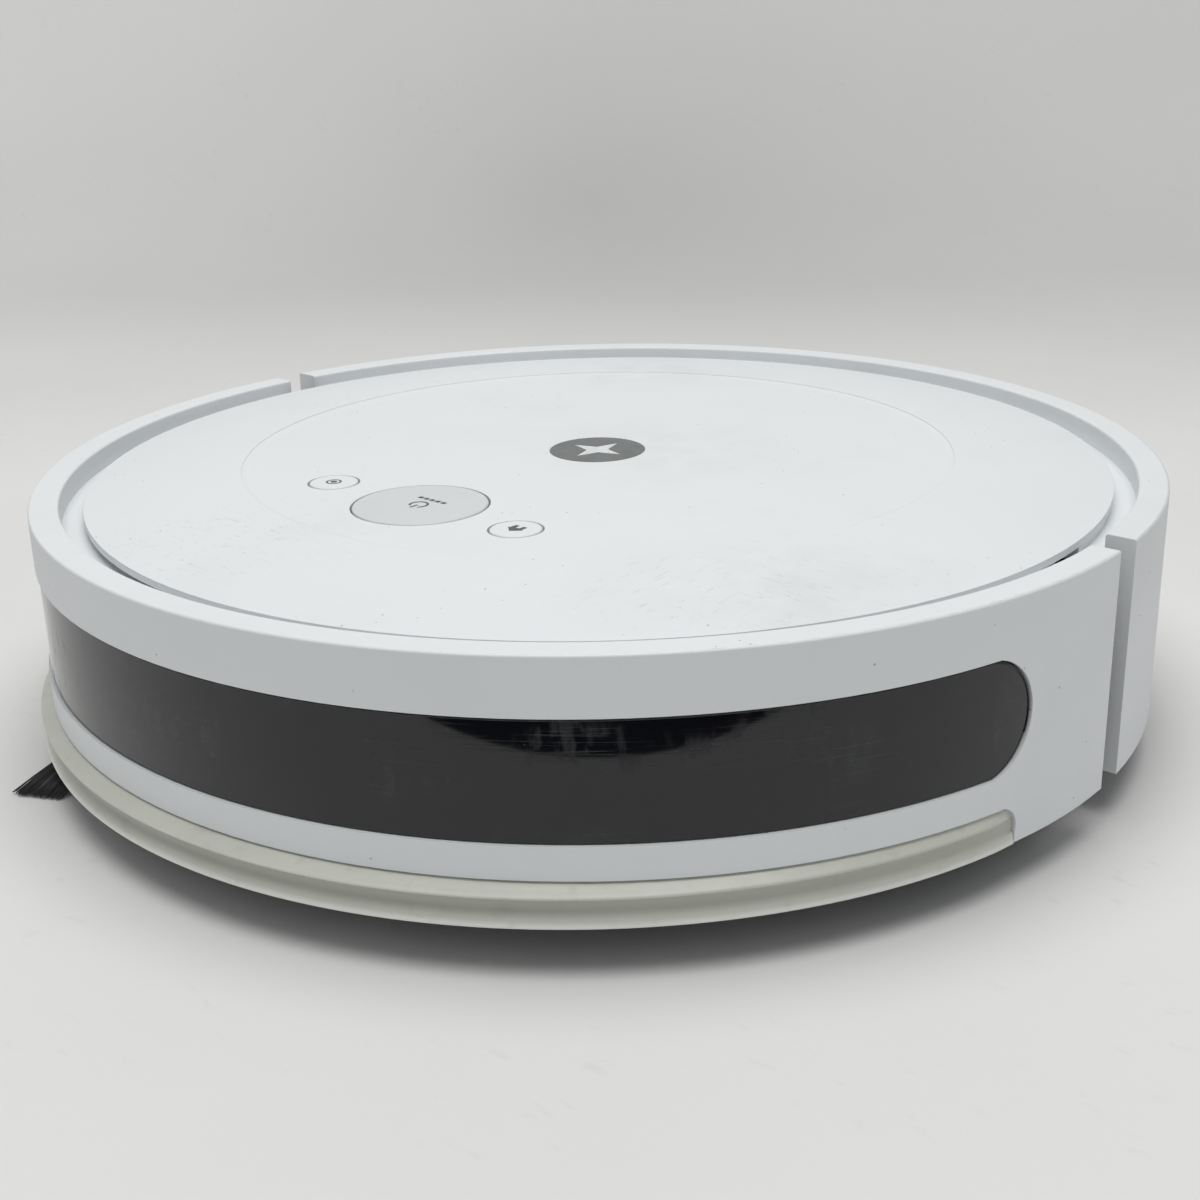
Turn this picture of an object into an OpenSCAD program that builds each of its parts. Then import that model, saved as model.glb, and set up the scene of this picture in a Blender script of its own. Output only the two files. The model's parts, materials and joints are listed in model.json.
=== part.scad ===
// Robot vacuum, built from separate mouldings, drive modules, brushes and fasteners.
// The floor is z = 0, the body's axis is x = y = 0, +Z is up and the robot drives towards -Y.

/* [Body] */
// Outside diameter of the round body
body_d = 340; // [320:1:420]
// Height of the raised rim above the floor
rim_h = 80; // [79:0.5:100]
// Gap between the underside and the floor
ground_gap = 13.5; // [12.5:0.5:14.5]
// Wall thickness of the outer mouldings
wall = 2.6; // [2.2:0.1:3.2]
// Width of the raised rim
rim_w = 8.5; // [7:0.5:11]
// Depth of the channel inside the rim
channel_depth = 7; // [5.5:0.5:8.5]
// Width of the channel between the rim and the top cover
channel_w = 6.6; // [6.4:0.1:10]
// Thickness of the base plate
base_t = 2.5; // [2:0.1:3]

/* [Top cover] */
// Height of the cover's crown above its edge
crown_h = 4.2; // [2:0.1:5]
// Radius of the flat disc in the middle of the cover
disc_r = 109; // [100:1:120]
// Depth of the step down to the flat disc
step_h = 0.6; // [0.3:0.1:1]
// Diameter of the round badge
badge_d = 29.6; // [20:0.2:36]

/* [Buttons] */
// Diameter of the large button
clean_d = 38.4; // [30:0.2:47]
// Diameter of the two small buttons
small_d = 14.3; // [10:0.1:18]
// Distance of the buttons ahead of the body's axis
button_y = 74.8; // [70:0.2:78]
// Distance of the small buttons to either side
button_x = 37.4; // [35:0.1:46]
// Gap between each button and its hole
button_gap = 0.6; // [0.3:0.1:0.9]
// Travel of each button
button_travel = 0.8; // [0.4:0.1:1]

/* [Bumper] */
// How far the bumper slides back when it hits something
bumper_travel = 5; // [3:0.5:6]
// Distance of the bumper's ends behind the body's axis
bumper_end = 8.3; // [4:0.1:12]
// Gap between the bumper's ends and the rear shell
slot_w = 10.5; // [8:0.5:14]
// Height of the window's lower edge above the floor
window_lo = 33; // [31:0.1:36]
// Height of the window's upper edge above the floor
window_hi = 64.7; // [54:0.1:66]
// Angle that the window reaches to either side of straight ahead
window_angle = 80; // [60:1:84]
// Height of the soft strip's upper edge above the floor
strip_top = 24.1; // [21:0.1:26]
// Angle that the soft strip reaches to either side of straight ahead
strip_angle = 78.8; // [60:0.1:82]
// How far the soft strip's ridge stands proud, straight ahead
strip_proud = 4.3; // [2:0.1:6]

/* [Drive wheels] */
// Diameter over the tyre
wheel_d = 66; // [64:0.5:66]
// Width of the tyre
wheel_w = 20; // [14:0.5:22]
// Distance of each wheel's middle from the body's axis
wheel_x = 115; // [115:0.5:120]
// Distance from the suspension pivot to the wheel's axle
arm_len = 47; // [45:1:52]
// Diameter of the wheel's axle
axle_d = 6; // [4:0.5:8]

/* [Caster] */
// Diameter of the caster wheel
caster_d = 30; // [26:0.5:32]
// Width of the caster wheel
caster_w = 16; // [10:0.5:18]
// Distance of the caster's axle behind its swivel axis
caster_trail = 8; // [5:0.5:9]
// Diameter of the caster's swivel stem
stem_d = 8; // [6:0.5:10]

/* [Side brush] */
// Length of the side brush from its shaft to its tips
side_reach = 65; // [50:1:66]
// Number of arms on the side brush
side_arms = 3; // [2:1:4]

/* [Main brush] */
// Diameter over the main brush's bristles
brush_d = 46; // [44:0.5:47]
// Distance of the main brush behind the body's axis
brush_y = 52; // [50:0.5:54]
// Diameter of the main brush's core
core_d = 16; // [14:0.5:22]
// Diameter of the main brush's shaft ends
brush_shaft_d = 8; // [6:0.5:9]
// Number of bristle rows on the main brush
bristle_rows = 3; // [2:1:4]

/* [Battery] */
// Diameter of one cell
cell_d = 22; // [18:0.5:23]
// Length of one cell
cell_len = 43; // [36:1:43]
// Number of cells side by side
cell_columns = 4; // [2:1:4]

/* [Dust bin] */
// Width of the dust bin
bin_w = 189.2; // [150:0.2:190]
// Height of the dust bin
bin_h = 45.6; // [36:0.2:47]
// Distance of the bin's front face behind the body's axis
bin_y = 84.4; // [84:0.2:90]
// Wall thickness of the dust bin
bin_wall = 2; // [1.6:0.1:2.6]

/* [Fan] */
// Diameter of the fan's impeller
impeller_d = 36; // [28:1:38]
// Number of blades on the impeller
blade_count = 9; // [7:1:11]

/* [Fits] */
// Gap between fixed pieces that sit in each other
seat_gap = 0.1; // [0.05:0.05:0.2]
// Radial clearance of shafts and pins that turn or slide
run_gap = 0.05; // [0.03:0.01:0.1]
// Gap between the base plate and a module that fills an opening in it
module_gap = 0.5; // [0.3:0.1:0.8]

/* [Hidden] */
$fn = 96;

white = [0.90, 0.91, 0.92];
dark = [0.16, 0.16, 0.17];
steel = [0.70, 0.71, 0.73];
board_green = [0.10, 0.32, 0.20];

// Longer than anything that a cutter has to pass through
reach = 2 * body_d;

// Heights
base_z = ground_gap;
base_top = base_z + base_t;
channel_t = 2;
channel_z = rim_h - channel_depth;
frame_t = 2;
frame_top = channel_z - channel_t - 1.5;
frame_z = frame_top - frame_t;
cover_edge_z = rim_h - 2.6;
cover_t = 2.5;
cover_lip = 2;
disc_z = cover_edge_z + crown_h - step_h;
disc_under = disc_z - cover_t;

// Radii of the body
body_r = body_d / 2;
inner_r = body_r - wall;
rim_fillet = 0.7;
rim_inner_r = body_r - rim_w;
cover_r = rim_inner_r - channel_w;
window_flange = 2.2;
window_recess = 0.8;
front_r = inner_r - window_flange - bumper_travel - 1.2;
front_wall_t = 2.5;
front_wall_r = front_r - 6;
rear_y = bumper_end + slot_w;
cover_ledge = 7;
crown_peak_r = disc_r - 4;
crown_run = cover_r - crown_peak_r;
crown_ball_r = (crown_run * crown_run + crown_h * crown_h) / (2 * crown_h);
crown_ball_z = cover_edge_z + crown_h - crown_ball_r;

// Fasteners
screw_r = 1.5;
screw_head_r = 2.9;
screw_head_h = 1.1;
screw_len = 10;
post_r = 4;
post_spots = [[70, -105], [58, -8], [104, 42], [104, 104]];
shell_boss_angles = [18, 42];
shell_boss_r = inner_r - 3.9;
shell_boss_h = 24;

// Cover hooks
hook_r = cover_r - 26;
hook_w = 8;
hook_t = 2.4;
hook_lip = 1;
hook_angles = [10, 58, 122, 170, 248, 292];

// Buttons: each is [x, y, diameter]
clean_spot = [0, -button_y, clean_d];
spot_spot = [-button_x, -button_y, small_d];
dock_spot = [button_x, -button_y, small_d];
button_proud = 0.2;
button_flange = 1.2;
button_flange_t = 1.2;
button_stem_r = 3;
board_t = 1.6;
board_z = frame_top + 1.2;
switch_h = 1.8;
button_board_l = 106;
button_board_w = 30;

// Main board
main_board_size = [124, 84];
main_board_y = 14;

// Drive modules
wheel_r = wheel_d / 2;
tyre_t = 6;
axle_z = wheel_r;
axle_r = axle_d / 2;
housing_in = wheel_x - 29;
housing_out = wheel_x - 12;
housing_axle_r = axle_z - base_top - 0.2;
housing_pivot_r = housing_axle_r - 1.5;
pivot_y = -arm_len;
trunnion_r = 4;
trunnion_len = 6.5;
motor_r = 13.5;
motor_len = 28;
ear_t = 4;
ear_gap = 1.5;
well_gap = 1.6;
spring_y = -12;
spring_seat_z = axle_z + housing_axle_r + 0.8;

// Caster
caster_y = 42 - body_r;
caster_r = caster_d / 2;
fork_r = caster_trail + caster_r + 2;
fork_z = 10;
fork_top = caster_d + 3;
socket_gap = 1.2;
socket_t = 2.4;
socket_top = fork_top + 7;
stem_r = stem_d / 2;
caster_axle_r = 2;
caster_axle_len = caster_w + 8;
clip_t = 1;

// Side brush, ahead and to the right
side_angle = 225;
side_r = body_r - 23;
side_x = side_r * cos(side_angle);
side_y = side_r * sin(side_angle);
side_gearbox_r = 12.5;
side_motor_r = 10;
side_motor_in = 22.6;
side_shaft_r = 4;
side_hub_r = 9;
side_hub_z = 5.6;
side_hub_top = base_z - 1;
side_start = -47;
bristle_sweep = -35;
bristle_r = 0.45;
bristles_per_arm = 9;

// Main brush and its gear train
brush_r = brush_d / 2;
brush_z = brush_r + 1.5;
brush_shaft_r = brush_shaft_d / 2;
brush_x0 = -82;
brush_x1 = 67.5;
head_x0 = -86;
head_wall_x = 69;
head_x1 = 83;
gear_cover_t = 1.8;
head_clear = 1.5;
head_t = 2;
gear_mod = 1;
gear_w = 8;
gear_x = 73;
brush_teeth = 16;
idler_teeth = 24;
pinion_teeth = 10;
idler_angle = 150;
idler_gap = gear_mod * (brush_teeth + idler_teeth) / 2;
pinion_gap = gear_mod * (idler_teeth + pinion_teeth) / 2;
idler_y = brush_y + idler_gap * cos(idler_angle);
idler_z = brush_z + idler_gap * sin(idler_angle);
pinion_y = idler_y - pinion_gap;
pinion_z = idler_z;
idler_pin_r = 3;
pinion_shaft_r = 1.6;
brush_motor_r = norm([brush_y - pinion_y, pinion_z - brush_z]) - brush_r - head_clear - head_t - 0.4;
brush_motor_len = 36;
throat = [[-70, 60], [24, 42]];
frame_z0 = base_z - 2.1;
frame_z1 = base_z - 0.1;
mouth_gap = 3;
frame_hinge_y = brush_y - brush_r - 2.6;

// Dust bin and its bay
bin_z = base_top + 0.4;
bin_top = bin_z + bin_h;
bin_lid_t = 2;
bay_gap = 0.4;
bay_rail_t = 2;
bay_rail_h = 14;
release_r = 8;
release_z = bin_top - 14;
release_travel = 2;

// Fan, between the right rail and the rear shell
fan_x = -119;
fan_y = 78;
fan_wall = 1.8;
fan_r = impeller_d / 2 + 4;
fan_z = base_top + 14;
fan_top = fan_z + 22;
fan_motor_r = 12;
fan_shaft_r = 1.5;
fan_inlet = [[84.6, 98], [fan_z + 4, fan_z + 18]];

// Battery, between the drive motors
cell_pitch = cell_d + 0.4;
battery_t = 1.5;
battery_w = cell_columns * cell_pitch + 2 * battery_t + 2;
battery_l = 2 * cell_len + 2 * battery_t + 3;
battery_h = cell_d + 2 * battery_t + 1;
battery_back = -3;
battery_mid = battery_back - battery_l / 2;
bay_wall_t = 2;

// Bumper guides, to either side of the caster
guide_x = 60;
guide_z = 26;
guide_r = 2;
lug_w = 12;
lug_back = front_r - 12;
bracket_front = lug_back - bumper_travel - 0.5;
bracket_t = 11;
spring_pocket_r = 4.6;
bracket_pocket = 6;
lug_pocket = 1.5;
guide_reach = 3.4;
sensor_x = 30;

// Downward-looking sensors and charging contacts
cliff_angles = [238, 302, 198, 342];
cliff_r = body_r - 24;
contact_x = 42;
contact_y = caster_y + 10;
contact_size = [18, 10];

// ---------- helpers ----------

module block(x0, x1, y0, y1, z0, z1) {
    translate([x0, y0, z0]) cube([x1 - x0, y1 - y0, z1 - z0]);
}

// Turns the drawing plane into the Y-Z plane, with its height along +X
module on_x(x, y, z) {
    translate([x, y, z]) rotate([90, 0, 90]) children();
}

// Points the drawing's height along +Y
module on_y(x, y, z) {
    translate([x, y, z]) rotate([-90, 0, 0]) children();
}

module both_sides() {
    children();
    mirror([1, 0, 0]) children();
}

module polar(r, angle) {
    rotate([0, 0, angle]) translate([r, 0, 0]) children();
}

module tube(r_in, r_out, z0, z1) {
    difference() {
        translate([0, 0, z0]) cylinder(r = r_out, h = z1 - z0);
        translate([0, 0, z0 - 1]) cylinder(r = r_in, h = z1 - z0 + 2);
    }
}

module ahead_of(y) {
    intersection() {
        children();
        block(-reach, reach, -reach, y, -reach, reach);
    }
}

module behind(y) {
    intersection() {
        children();
        block(-reach, reach, y, reach, -reach, reach);
    }
}

// A slab bent round the body's axis, with round ends, centred straight ahead
module bent_slab(r0, r1, z0, z1, half_angle) {
    half = (z1 - z0) / 2;
    end_r = half + 0.5;
    end_angle = half_angle - asin(end_r / r1);
    difference() {
        rotate([0, 0, 270 - half_angle - 2])
            rotate_extrude(angle = 2 * half_angle + 4) translate([r0, z0]) square([r1 - r0, z1 - z0]);
        for (side = [-1, 1])
            polar(0, 270 + side * end_angle) on_x(r0 - 10, 0, z0 + half)
                linear_extrude(r1 - r0 + 20) difference() {
                    translate([side > 0 ? 0 : -2 * end_r, -half - 1]) square([2 * end_r, 2 * half + 2]);
                    circle(r = end_r);
                }
    }
}

// A round wire wound along +Z, with open ends
function coil_point(r, wire_r, turns, height, step, steps, corner, corners) =
    let (turn = 360 * turns * step / steps, b = 360 * corner / corners, out = r + wire_r * cos(b))
    [
        out * cos(turn),
        out * sin(turn),
        wire_r + (height - 2 * wire_r) * step / steps + wire_r * sin(b)
    ];

module coil(r, wire_r, turns, height, per_turn = 14, corners = 6) {
    steps = turns * per_turn;
    points = [for (i = [0:steps]) for (j = [0:corners - 1])
        coil_point(r, wire_r, turns, height, i, steps, j, corners)];
    skin = [for (i = [0:steps - 1]) for (j = [0:corners - 1])
        let (a = i * corners + j, b = i * corners + (j + 1) % corners)
        each [[a, a + corners, b], [b, a + corners, b + corners]]];
    start_cap = [for (j = [0:corners - 1]) j];
    end_cap = [for (j = [corners - 1:-1:0]) steps * corners + j];
    polyhedron(points = points, faces = concat(skin, [start_cap, end_cap]), convexity = 10);
}

// A spur gear with slightly thinned teeth, so that a pair turns freely
module gear(teeth, width, bore_r, phase) {
    pitch_r = gear_mod * teeth / 2;
    root_r = pitch_r - 1.15 * gear_mod;
    tip_r = pitch_r + 0.85 * gear_mod;
    root_half = 0.82 * gear_mod;
    pitch_half = 0.60 * gear_mod;
    tip_half = 0.26 * gear_mod;
    linear_extrude(width)
        difference() {
            union() {
                circle(r = root_r);
                for (i = [0:teeth - 1])
                    rotate(phase + 360 * i / teeth)
                        polygon([
                            [root_r - 0.4, -root_half], [pitch_r, -pitch_half], [tip_r, -tip_half],
                            [tip_r, tip_half], [pitch_r, pitch_half], [root_r - 0.4, root_half]
                        ]);
            }
            circle(r = bore_r);
        }
}

// A pan-head screw with its head's underside at the origin and its shank up +Z
module screw(length = screw_len, r = screw_r, head_r = screw_head_r, head_h = screw_head_h) {
    difference() {
        union() {
            cylinder(r = r, h = length);
            translate([0, 0, -head_h]) cylinder(r = head_r, h = head_h);
        }
        for (turn = [0, 90])
            rotate([0, 0, turn])
                block(-head_r * 0.6, head_r * 0.6, -0.4, 0.4, -head_h - 1, -head_h / 2);
    }
}

// The hollow rim and the channel floor, which the bumper and the rear shell share
module rim_section(floor_r) {
    translate([rim_inner_r + rim_fillet, rim_h - wall]) square([rim_w - 2 * rim_fillet, wall]);
    for (r = [rim_inner_r + rim_fillet, body_r - rim_fillet])
        translate([r, rim_h - rim_fillet]) circle(r = rim_fillet);
    translate([inner_r, base_z]) square([wall, rim_h - rim_fillet - base_z]);
    translate([rim_inner_r, channel_z - channel_t])
        square([channel_t, rim_h - rim_fillet - channel_z + channel_t]);
    translate([floor_r, channel_z - channel_t]) square([rim_inner_r + 1 - floor_r, channel_t]);
}

// Fills the rim's hollow, where a moulding closes its end
module rim_end() {
    tube(rim_inner_r + 0.5, body_r - 0.5, channel_z - 1, rim_h - 0.5);
}

// ---------- chassis ----------

module base_outline() {
    intersection() {
        circle(r = front_r);
        translate([-reach, -reach]) square([2 * reach, reach + rear_y + wall + 1]);
    }
    intersection() {
        circle(r = inner_r - seat_gap);
        translate([-reach, rear_y + wall + seat_gap]) square([2 * reach, reach]);
    }
}

module well_cut() {
    block(wheel_x - wheel_w / 2 - well_gap, wheel_x + wheel_w / 2 + well_gap,
        -wheel_r - 3, wheel_r + 3, -1, base_top + 1);
    block(housing_in - well_gap, housing_out + well_gap,
        pivot_y - housing_pivot_r - 2, wheel_r + 3, -1, base_top + 1);
}

module pivot_ear(x) {
    difference() {
        union() {
            block(x, x + ear_t, pivot_y - 7, pivot_y + 7, base_top - 1, axle_z);
            on_x(x, pivot_y, axle_z) cylinder(r = 7, h = ear_t);
        }
        on_x(x - 1, pivot_y, axle_z) cylinder(r = trunnion_r + run_gap, h = ear_t + 2);
    }
}

module caster_socket() {
    outer = fork_r + socket_gap + socket_t;
    translate([0, caster_y, 0]) {
        tube(fork_r + socket_gap, outer, base_z, socket_top);
        tube(stem_r + run_gap, outer, fork_top + 1, socket_top);
    }
}

module guide_bracket() {
    block(guide_x - lug_w / 2, guide_x + lug_w / 2, -bracket_front, bracket_t - bracket_front,
        base_top - 1, guide_z + lug_w / 2);
}

module guide_bores() {
    on_y(guide_x, -bracket_front - 1, guide_z) cylinder(r = guide_r + seat_gap / 2, h = bracket_t + 2);
    on_y(guide_x, -bracket_front - 1, guide_z) cylinder(r = spring_pocket_r, h = bracket_pocket + 1);
}

module battery_bay() {
    difference() {
        block(-battery_w / 2 - bay_wall_t - seat_gap, battery_w / 2 + bay_wall_t + seat_gap,
            battery_mid - battery_l / 2 - bay_wall_t - seat_gap,
            battery_mid + battery_l / 2 + bay_wall_t + seat_gap, base_top - 1, base_top + battery_h - 6);
        block(-battery_w / 2 - seat_gap, battery_w / 2 + seat_gap,
            battery_mid - battery_l / 2 - seat_gap, battery_mid + battery_l / 2 + seat_gap, 0, reach);
    }
}

module bay_rails() {
    x = bin_w / 2 + bay_gap;
    far = sqrt(pow(inner_r - seat_gap, 2) - pow(x + bay_rail_t, 2)) - 1;
    both_sides() block(x, x + bay_rail_t, bin_y, far, base_top - 1, base_top + bay_rail_h);
}

module chassis_base() color(dark) difference() {
    union() {
        translate([0, 0, base_z]) linear_extrude(base_t) base_outline();
        ahead_of(rear_y + 6)
            difference() {
                tube(front_wall_r - front_wall_t, front_wall_r, base_top - 1, frame_z);
                translate([side_x, side_y, 0]) cylinder(r = side_gearbox_r + 1, h = reach);
                both_sides() block(guide_x - lug_w / 2 - 1, guide_x + lug_w / 2 + 1,
                    -reach, -bracket_front, base_top, guide_z + lug_w / 2 + 1);
                both_sides() block(sensor_x - 8, sensor_x + 8, -reach, 0, base_top, base_top + 16);
            }
        for (p = post_spots)
            both_sides() translate([p[0], p[1], base_top - 1]) cylinder(r = post_r, h = frame_z - base_top + 1);
        caster_socket();
        both_sides() pivot_ear(housing_out + ear_gap);
        both_sides() pivot_ear(housing_in - motor_len - ear_gap - ear_t);
        both_sides() guide_bracket();
        battery_bay();
        bay_rails();
    }
    translate([0, caster_y, base_z - 1]) cylinder(r = fork_r + socket_gap, h = fork_top + 2 - base_z);
    both_sides() well_cut();
    both_sides() guide_bores();
    block(-battery_w / 2 - seat_gap, battery_w / 2 + seat_gap, battery_mid - battery_l / 2 - seat_gap,
        battery_mid + battery_l / 2 + seat_gap, 0, base_top + 1);
    block(head_x0 - module_gap, head_x1 + gear_cover_t + module_gap, brush_y - brush_r - 4 - module_gap,
        brush_y + brush_r + 4 + module_gap, 0, base_top + 1);
    translate([side_x, side_y, 0]) cylinder(r = side_shaft_r + 1.5, h = base_top + 1);
    for (a = cliff_angles)
        polar(cliff_r, a) block(-4 - seat_gap, 4 + seat_gap, -8 - seat_gap, 8 + seat_gap, 0, base_top + 1);
    both_sides() translate([contact_x, contact_y, 0])
        block(-contact_size[0] / 2 - seat_gap, contact_size[0] / 2 + seat_gap,
            -contact_size[1] / 2 - seat_gap, contact_size[1] / 2 + seat_gap, 0, base_top + 1);
    for (a = shell_boss_angles)
        both_sides() polar(shell_boss_r, a) {
            cylinder(r = screw_r + seat_gap, h = reach);
            cylinder(r = screw_head_r + 0.3, h = base_z + 1.2);
        }
    for (p = post_spots)
        both_sides() translate([p[0], p[1], frame_z - screw_len]) cylinder(r = screw_r, h = screw_len + 1);
}

module rear_shell() color(white) difference() {
    union() {
        behind(rear_y) rotate_extrude() {
            rim_section(cover_r - cover_ledge);
            translate([cover_r - cover_ledge, channel_z - 1])
                square([cover_ledge - 0.6, cover_edge_z - cover_lip - channel_z + 1]);
        }
        intersection() {
            union() {
                tube(front_wall_r + 1, body_r - 0.5, base_top + seat_gap, channel_z - 0.5);
                tube(front_r + 0.4, body_r - 0.5, base_z, base_top + 1);
                rim_end();
            }
            both_sides() block(0, reach, rear_y, rear_y + wall, 0, reach);
        }
        for (a = shell_boss_angles)
            both_sides() polar(shell_boss_r, a)
                translate([0, 0, base_top]) cylinder(r = 4.5, h = shell_boss_h);
    }
    block(-bin_w / 2 - bay_gap, bin_w / 2 + bay_gap, bin_y, reach, base_top, bin_top + bay_gap);
    for (a = shell_boss_angles)
        both_sides() polar(shell_boss_r, a)
            translate([0, 0, base_top - 1]) cylinder(r = screw_r, h = screw_len + 2);
    for (i = [-3:3])
        polar(0, 149 + 3.2 * i) block(0, reach, -1.6, 1.6, 34, 54);
}

module upper_frame() color(dark) difference() {
    union() {
        translate([0, 0, frame_z]) cylinder(r = front_wall_r, h = frame_t);
        both_sides() translate([(housing_in + housing_out) / 2, spring_y, frame_z - 4])
            cylinder(r = 3, h = 5);
        for (x = [-1, 1], y = [-1, 1])
            translate([x * (main_board_size[0] / 2 - 5), main_board_y + y * (main_board_size[1] / 2 - 5),
                frame_z]) cylinder(r = 3, h = board_z - frame_z);
        for (x = [-1, 1])
            translate([x * (button_board_l / 2 - 4), -button_y, frame_z]) cylinder(r = 3, h = board_z - frame_z);
    }
    for (a = hook_angles)
        polar(hook_r, a) block(-hook_t / 2 - 0.3, hook_t / 2 + hook_lip + 0.3,
            -hook_w / 2 - 0.3, hook_w / 2 + 0.3, frame_z - 1, frame_top + 1);
    for (p = post_spots)
        both_sides() translate([p[0], p[1], frame_z - 1]) cylinder(r = screw_r + seat_gap, h = frame_t + 2);
    for (p = [[20, -20], [-40, -40], [26, 66], [-110, 10], [110, 10], [0, 110]])
        translate([p[0], p[1], frame_z - 1]) cylinder(r = 6, h = frame_t + 2);
}

// ---------- top cover, badge, buttons and boards ----------

module cover_section() {
    difference() {
        intersection() {
            translate([crown_peak_r, crown_ball_z]) circle(r = crown_ball_r, $fn = 360);
            translate([disc_r, cover_edge_z - cover_lip]) square([cover_r - disc_r, crown_h + cover_lip]);
        }
        intersection() {
            translate([crown_peak_r, crown_ball_z]) circle(r = crown_ball_r - cover_t, $fn = 360);
            translate([0, 0]) square([cover_r - 4, rim_h + 10]);
        }
    }
    translate([0, disc_under]) square([disc_r - 1, cover_t]);
    polygon([
        [disc_r - 2, disc_under], [disc_r + 0.5, disc_under], [disc_r + 0.5, disc_z + step_h - 0.05],
        [disc_r - 1.5, disc_z], [disc_r - 2, disc_z]
    ]);
}

module button_hole(spot) {
    translate([spot[0], spot[1], disc_under - 1]) cylinder(r = spot[2] / 2 + button_gap, h = cover_t + 5);
}

module top_cover() color(white) difference() {
    union() {
        rotate_extrude() cover_section();
        for (a = hook_angles)
            intersection() {
                polar(hook_r, a) cover_hook();
                rotate_extrude() cover_fill();
            }
    }
    button_hole(clean_spot);
    button_hole(spot_spot);
    button_hole(dock_spot);
    translate([0, 0, disc_z - 1]) cylinder(r = badge_d / 2 + seat_gap, h = 5);
}

module badge() color([0.36, 0.37, 0.38]) difference() {
    translate([0, 0, disc_z - 1]) cylinder(r = badge_d / 2, h = 1.05);
    translate([0, 0, disc_z - 0.15]) linear_extrude(1) spark();
}

// A plain four-pointed spark, used as the badge's mark
module spark() {
    long = badge_d * 0.33;
    short = badge_d * 0.12;
    polygon([for (i = [0:7]) let (r = i % 2 == 0 ? long : short) [r * cos(45 * i), r * sin(45 * i)]]);
}

// Everything between the frame's underside and the middle of the cover's skin
module cover_fill() {
    intersection() {
        translate([crown_peak_r, crown_ball_z]) circle(r = crown_ball_r - cover_t / 2, $fn = 360);
        translate([disc_r, 0]) square([cover_r - disc_r, reach]);
    }
}

module cover_hook() {
    block(-hook_t / 2, hook_t / 2, -hook_w / 2, hook_w / 2, frame_z - 1.4, rim_h + 5);
    block(-hook_t / 2, hook_t / 2 + hook_lip, -hook_w / 2, hook_w / 2, frame_z - 1.4, frame_z - 0.1);
    block(-hook_t / 2 - 2, -hook_t / 2 + 1, -hook_w / 2, hook_w / 2, frame_top, rim_h + 5);
}

module push_button(spot) {
    r = spot[2] / 2;
    top = disc_z + button_proud;
    soft = 0.5;
    flange_top = disc_under - seat_gap;
    translate([spot[0], spot[1], 0]) {
        rotate_extrude() {
            translate([0, flange_top - button_flange_t]) square([r + button_flange, button_flange_t]);
            translate([0, flange_top - 1]) square([r, top - soft - flange_top + 1]);
            translate([0, flange_top]) square([r - soft, top - flange_top]);
            translate([r - soft, top - soft]) circle(r = soft);
        }
        translate([0, 0, board_z + board_t + switch_h + button_travel + 0.1])
            cylinder(r = button_stem_r, h = flange_top - 1 - board_z - board_t - switch_h - button_travel);
    }
}

module clean_button() color([0.86, 0.87, 0.88]) push_button(clean_spot);
module spot_button() color(white) push_button(spot_spot);
module dock_button() color(white) push_button(dock_spot);

module button_board() color(board_green) {
    difference() {
        translate([-button_board_l / 2, -button_y - button_board_w / 2, board_z])
            cube([button_board_l, button_board_w, board_t]);
        both_sides() translate([button_board_l / 2 - 4, -button_y, board_z - 1])
            cylinder(r = screw_r, h = board_t + 2);
    }
    for (spot = [clean_spot, spot_spot, dock_spot])
        translate([spot[0], spot[1], board_z + board_t]) {
            block(-3, 3, -3, 3, 0, switch_h - 0.5);
            cylinder(r = 1.6, h = switch_h);
        }
}

module main_board() color(board_green) {
    difference() {
        translate([-main_board_size[0] / 2, main_board_y - main_board_size[1] / 2, board_z])
            cube([main_board_size[0], main_board_size[1], board_t]);
        for (x = [-1, 1], y = [-1, 1])
            translate([x * (main_board_size[0] / 2 - 5), main_board_y + y * (main_board_size[1] / 2 - 5),
                board_z - 1]) cylinder(r = screw_r, h = board_t + 2);
    }
    translate([0, main_board_y, board_z + board_t]) {
        block(-12, 12, -12, 12, 0, 1.4);
        block(22, 36, -10, 6, 0, 1.2);
        block(-44, -30, 4, 14, 0, 1.6);
        for (i = [0:3]) translate([-36 + 12 * i, -30, 0]) cylinder(r = 3.5, h = 4);
        for (i = [0:4]) block(-50 + 22 * i, -38 + 22 * i, 32, 38, 0, 4);
    }
}

module frame_screws() color(steel) for (p = post_spots)
    both_sides() translate([p[0], p[1], frame_top]) mirror([0, 0, 1]) screw();

module base_screws() color(steel) {
    for (a = shell_boss_angles)
        both_sides() polar(shell_boss_r, a) translate([0, 0, base_z + 1.2]) screw();
    both_sides() translate([battery_w / 2 - 6, battery_mid - battery_l / 2 + 6, base_z + 1]) screw(1.4, 1.2, 2.2, 0.9);
}

// ---------- battery ----------

module battery_case() color([0.12, 0.12, 0.13]) difference() {
    block(-battery_w / 2, battery_w / 2, battery_mid - battery_l / 2, battery_mid + battery_l / 2,
        base_top, base_top + battery_h);
    block(-battery_w / 2 + battery_t, battery_w / 2 - battery_t, battery_mid - battery_l / 2 + battery_t,
        battery_mid + battery_l / 2 - battery_t, base_top + battery_t, base_top + battery_h - battery_t);
}

module battery_cells() color([0.25, 0.45, 0.55]) for (i = [0:cell_columns - 1], row = [0, 1])
    on_y((i - (cell_columns - 1) / 2) * cell_pitch,
        row == 0 ? battery_mid - 1 - cell_len : battery_mid + 1, base_top + battery_h / 2) {
        cylinder(r = cell_d / 2, h = cell_len - 1);
        cylinder(r = cell_d / 5, h = cell_len);
    }

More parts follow.
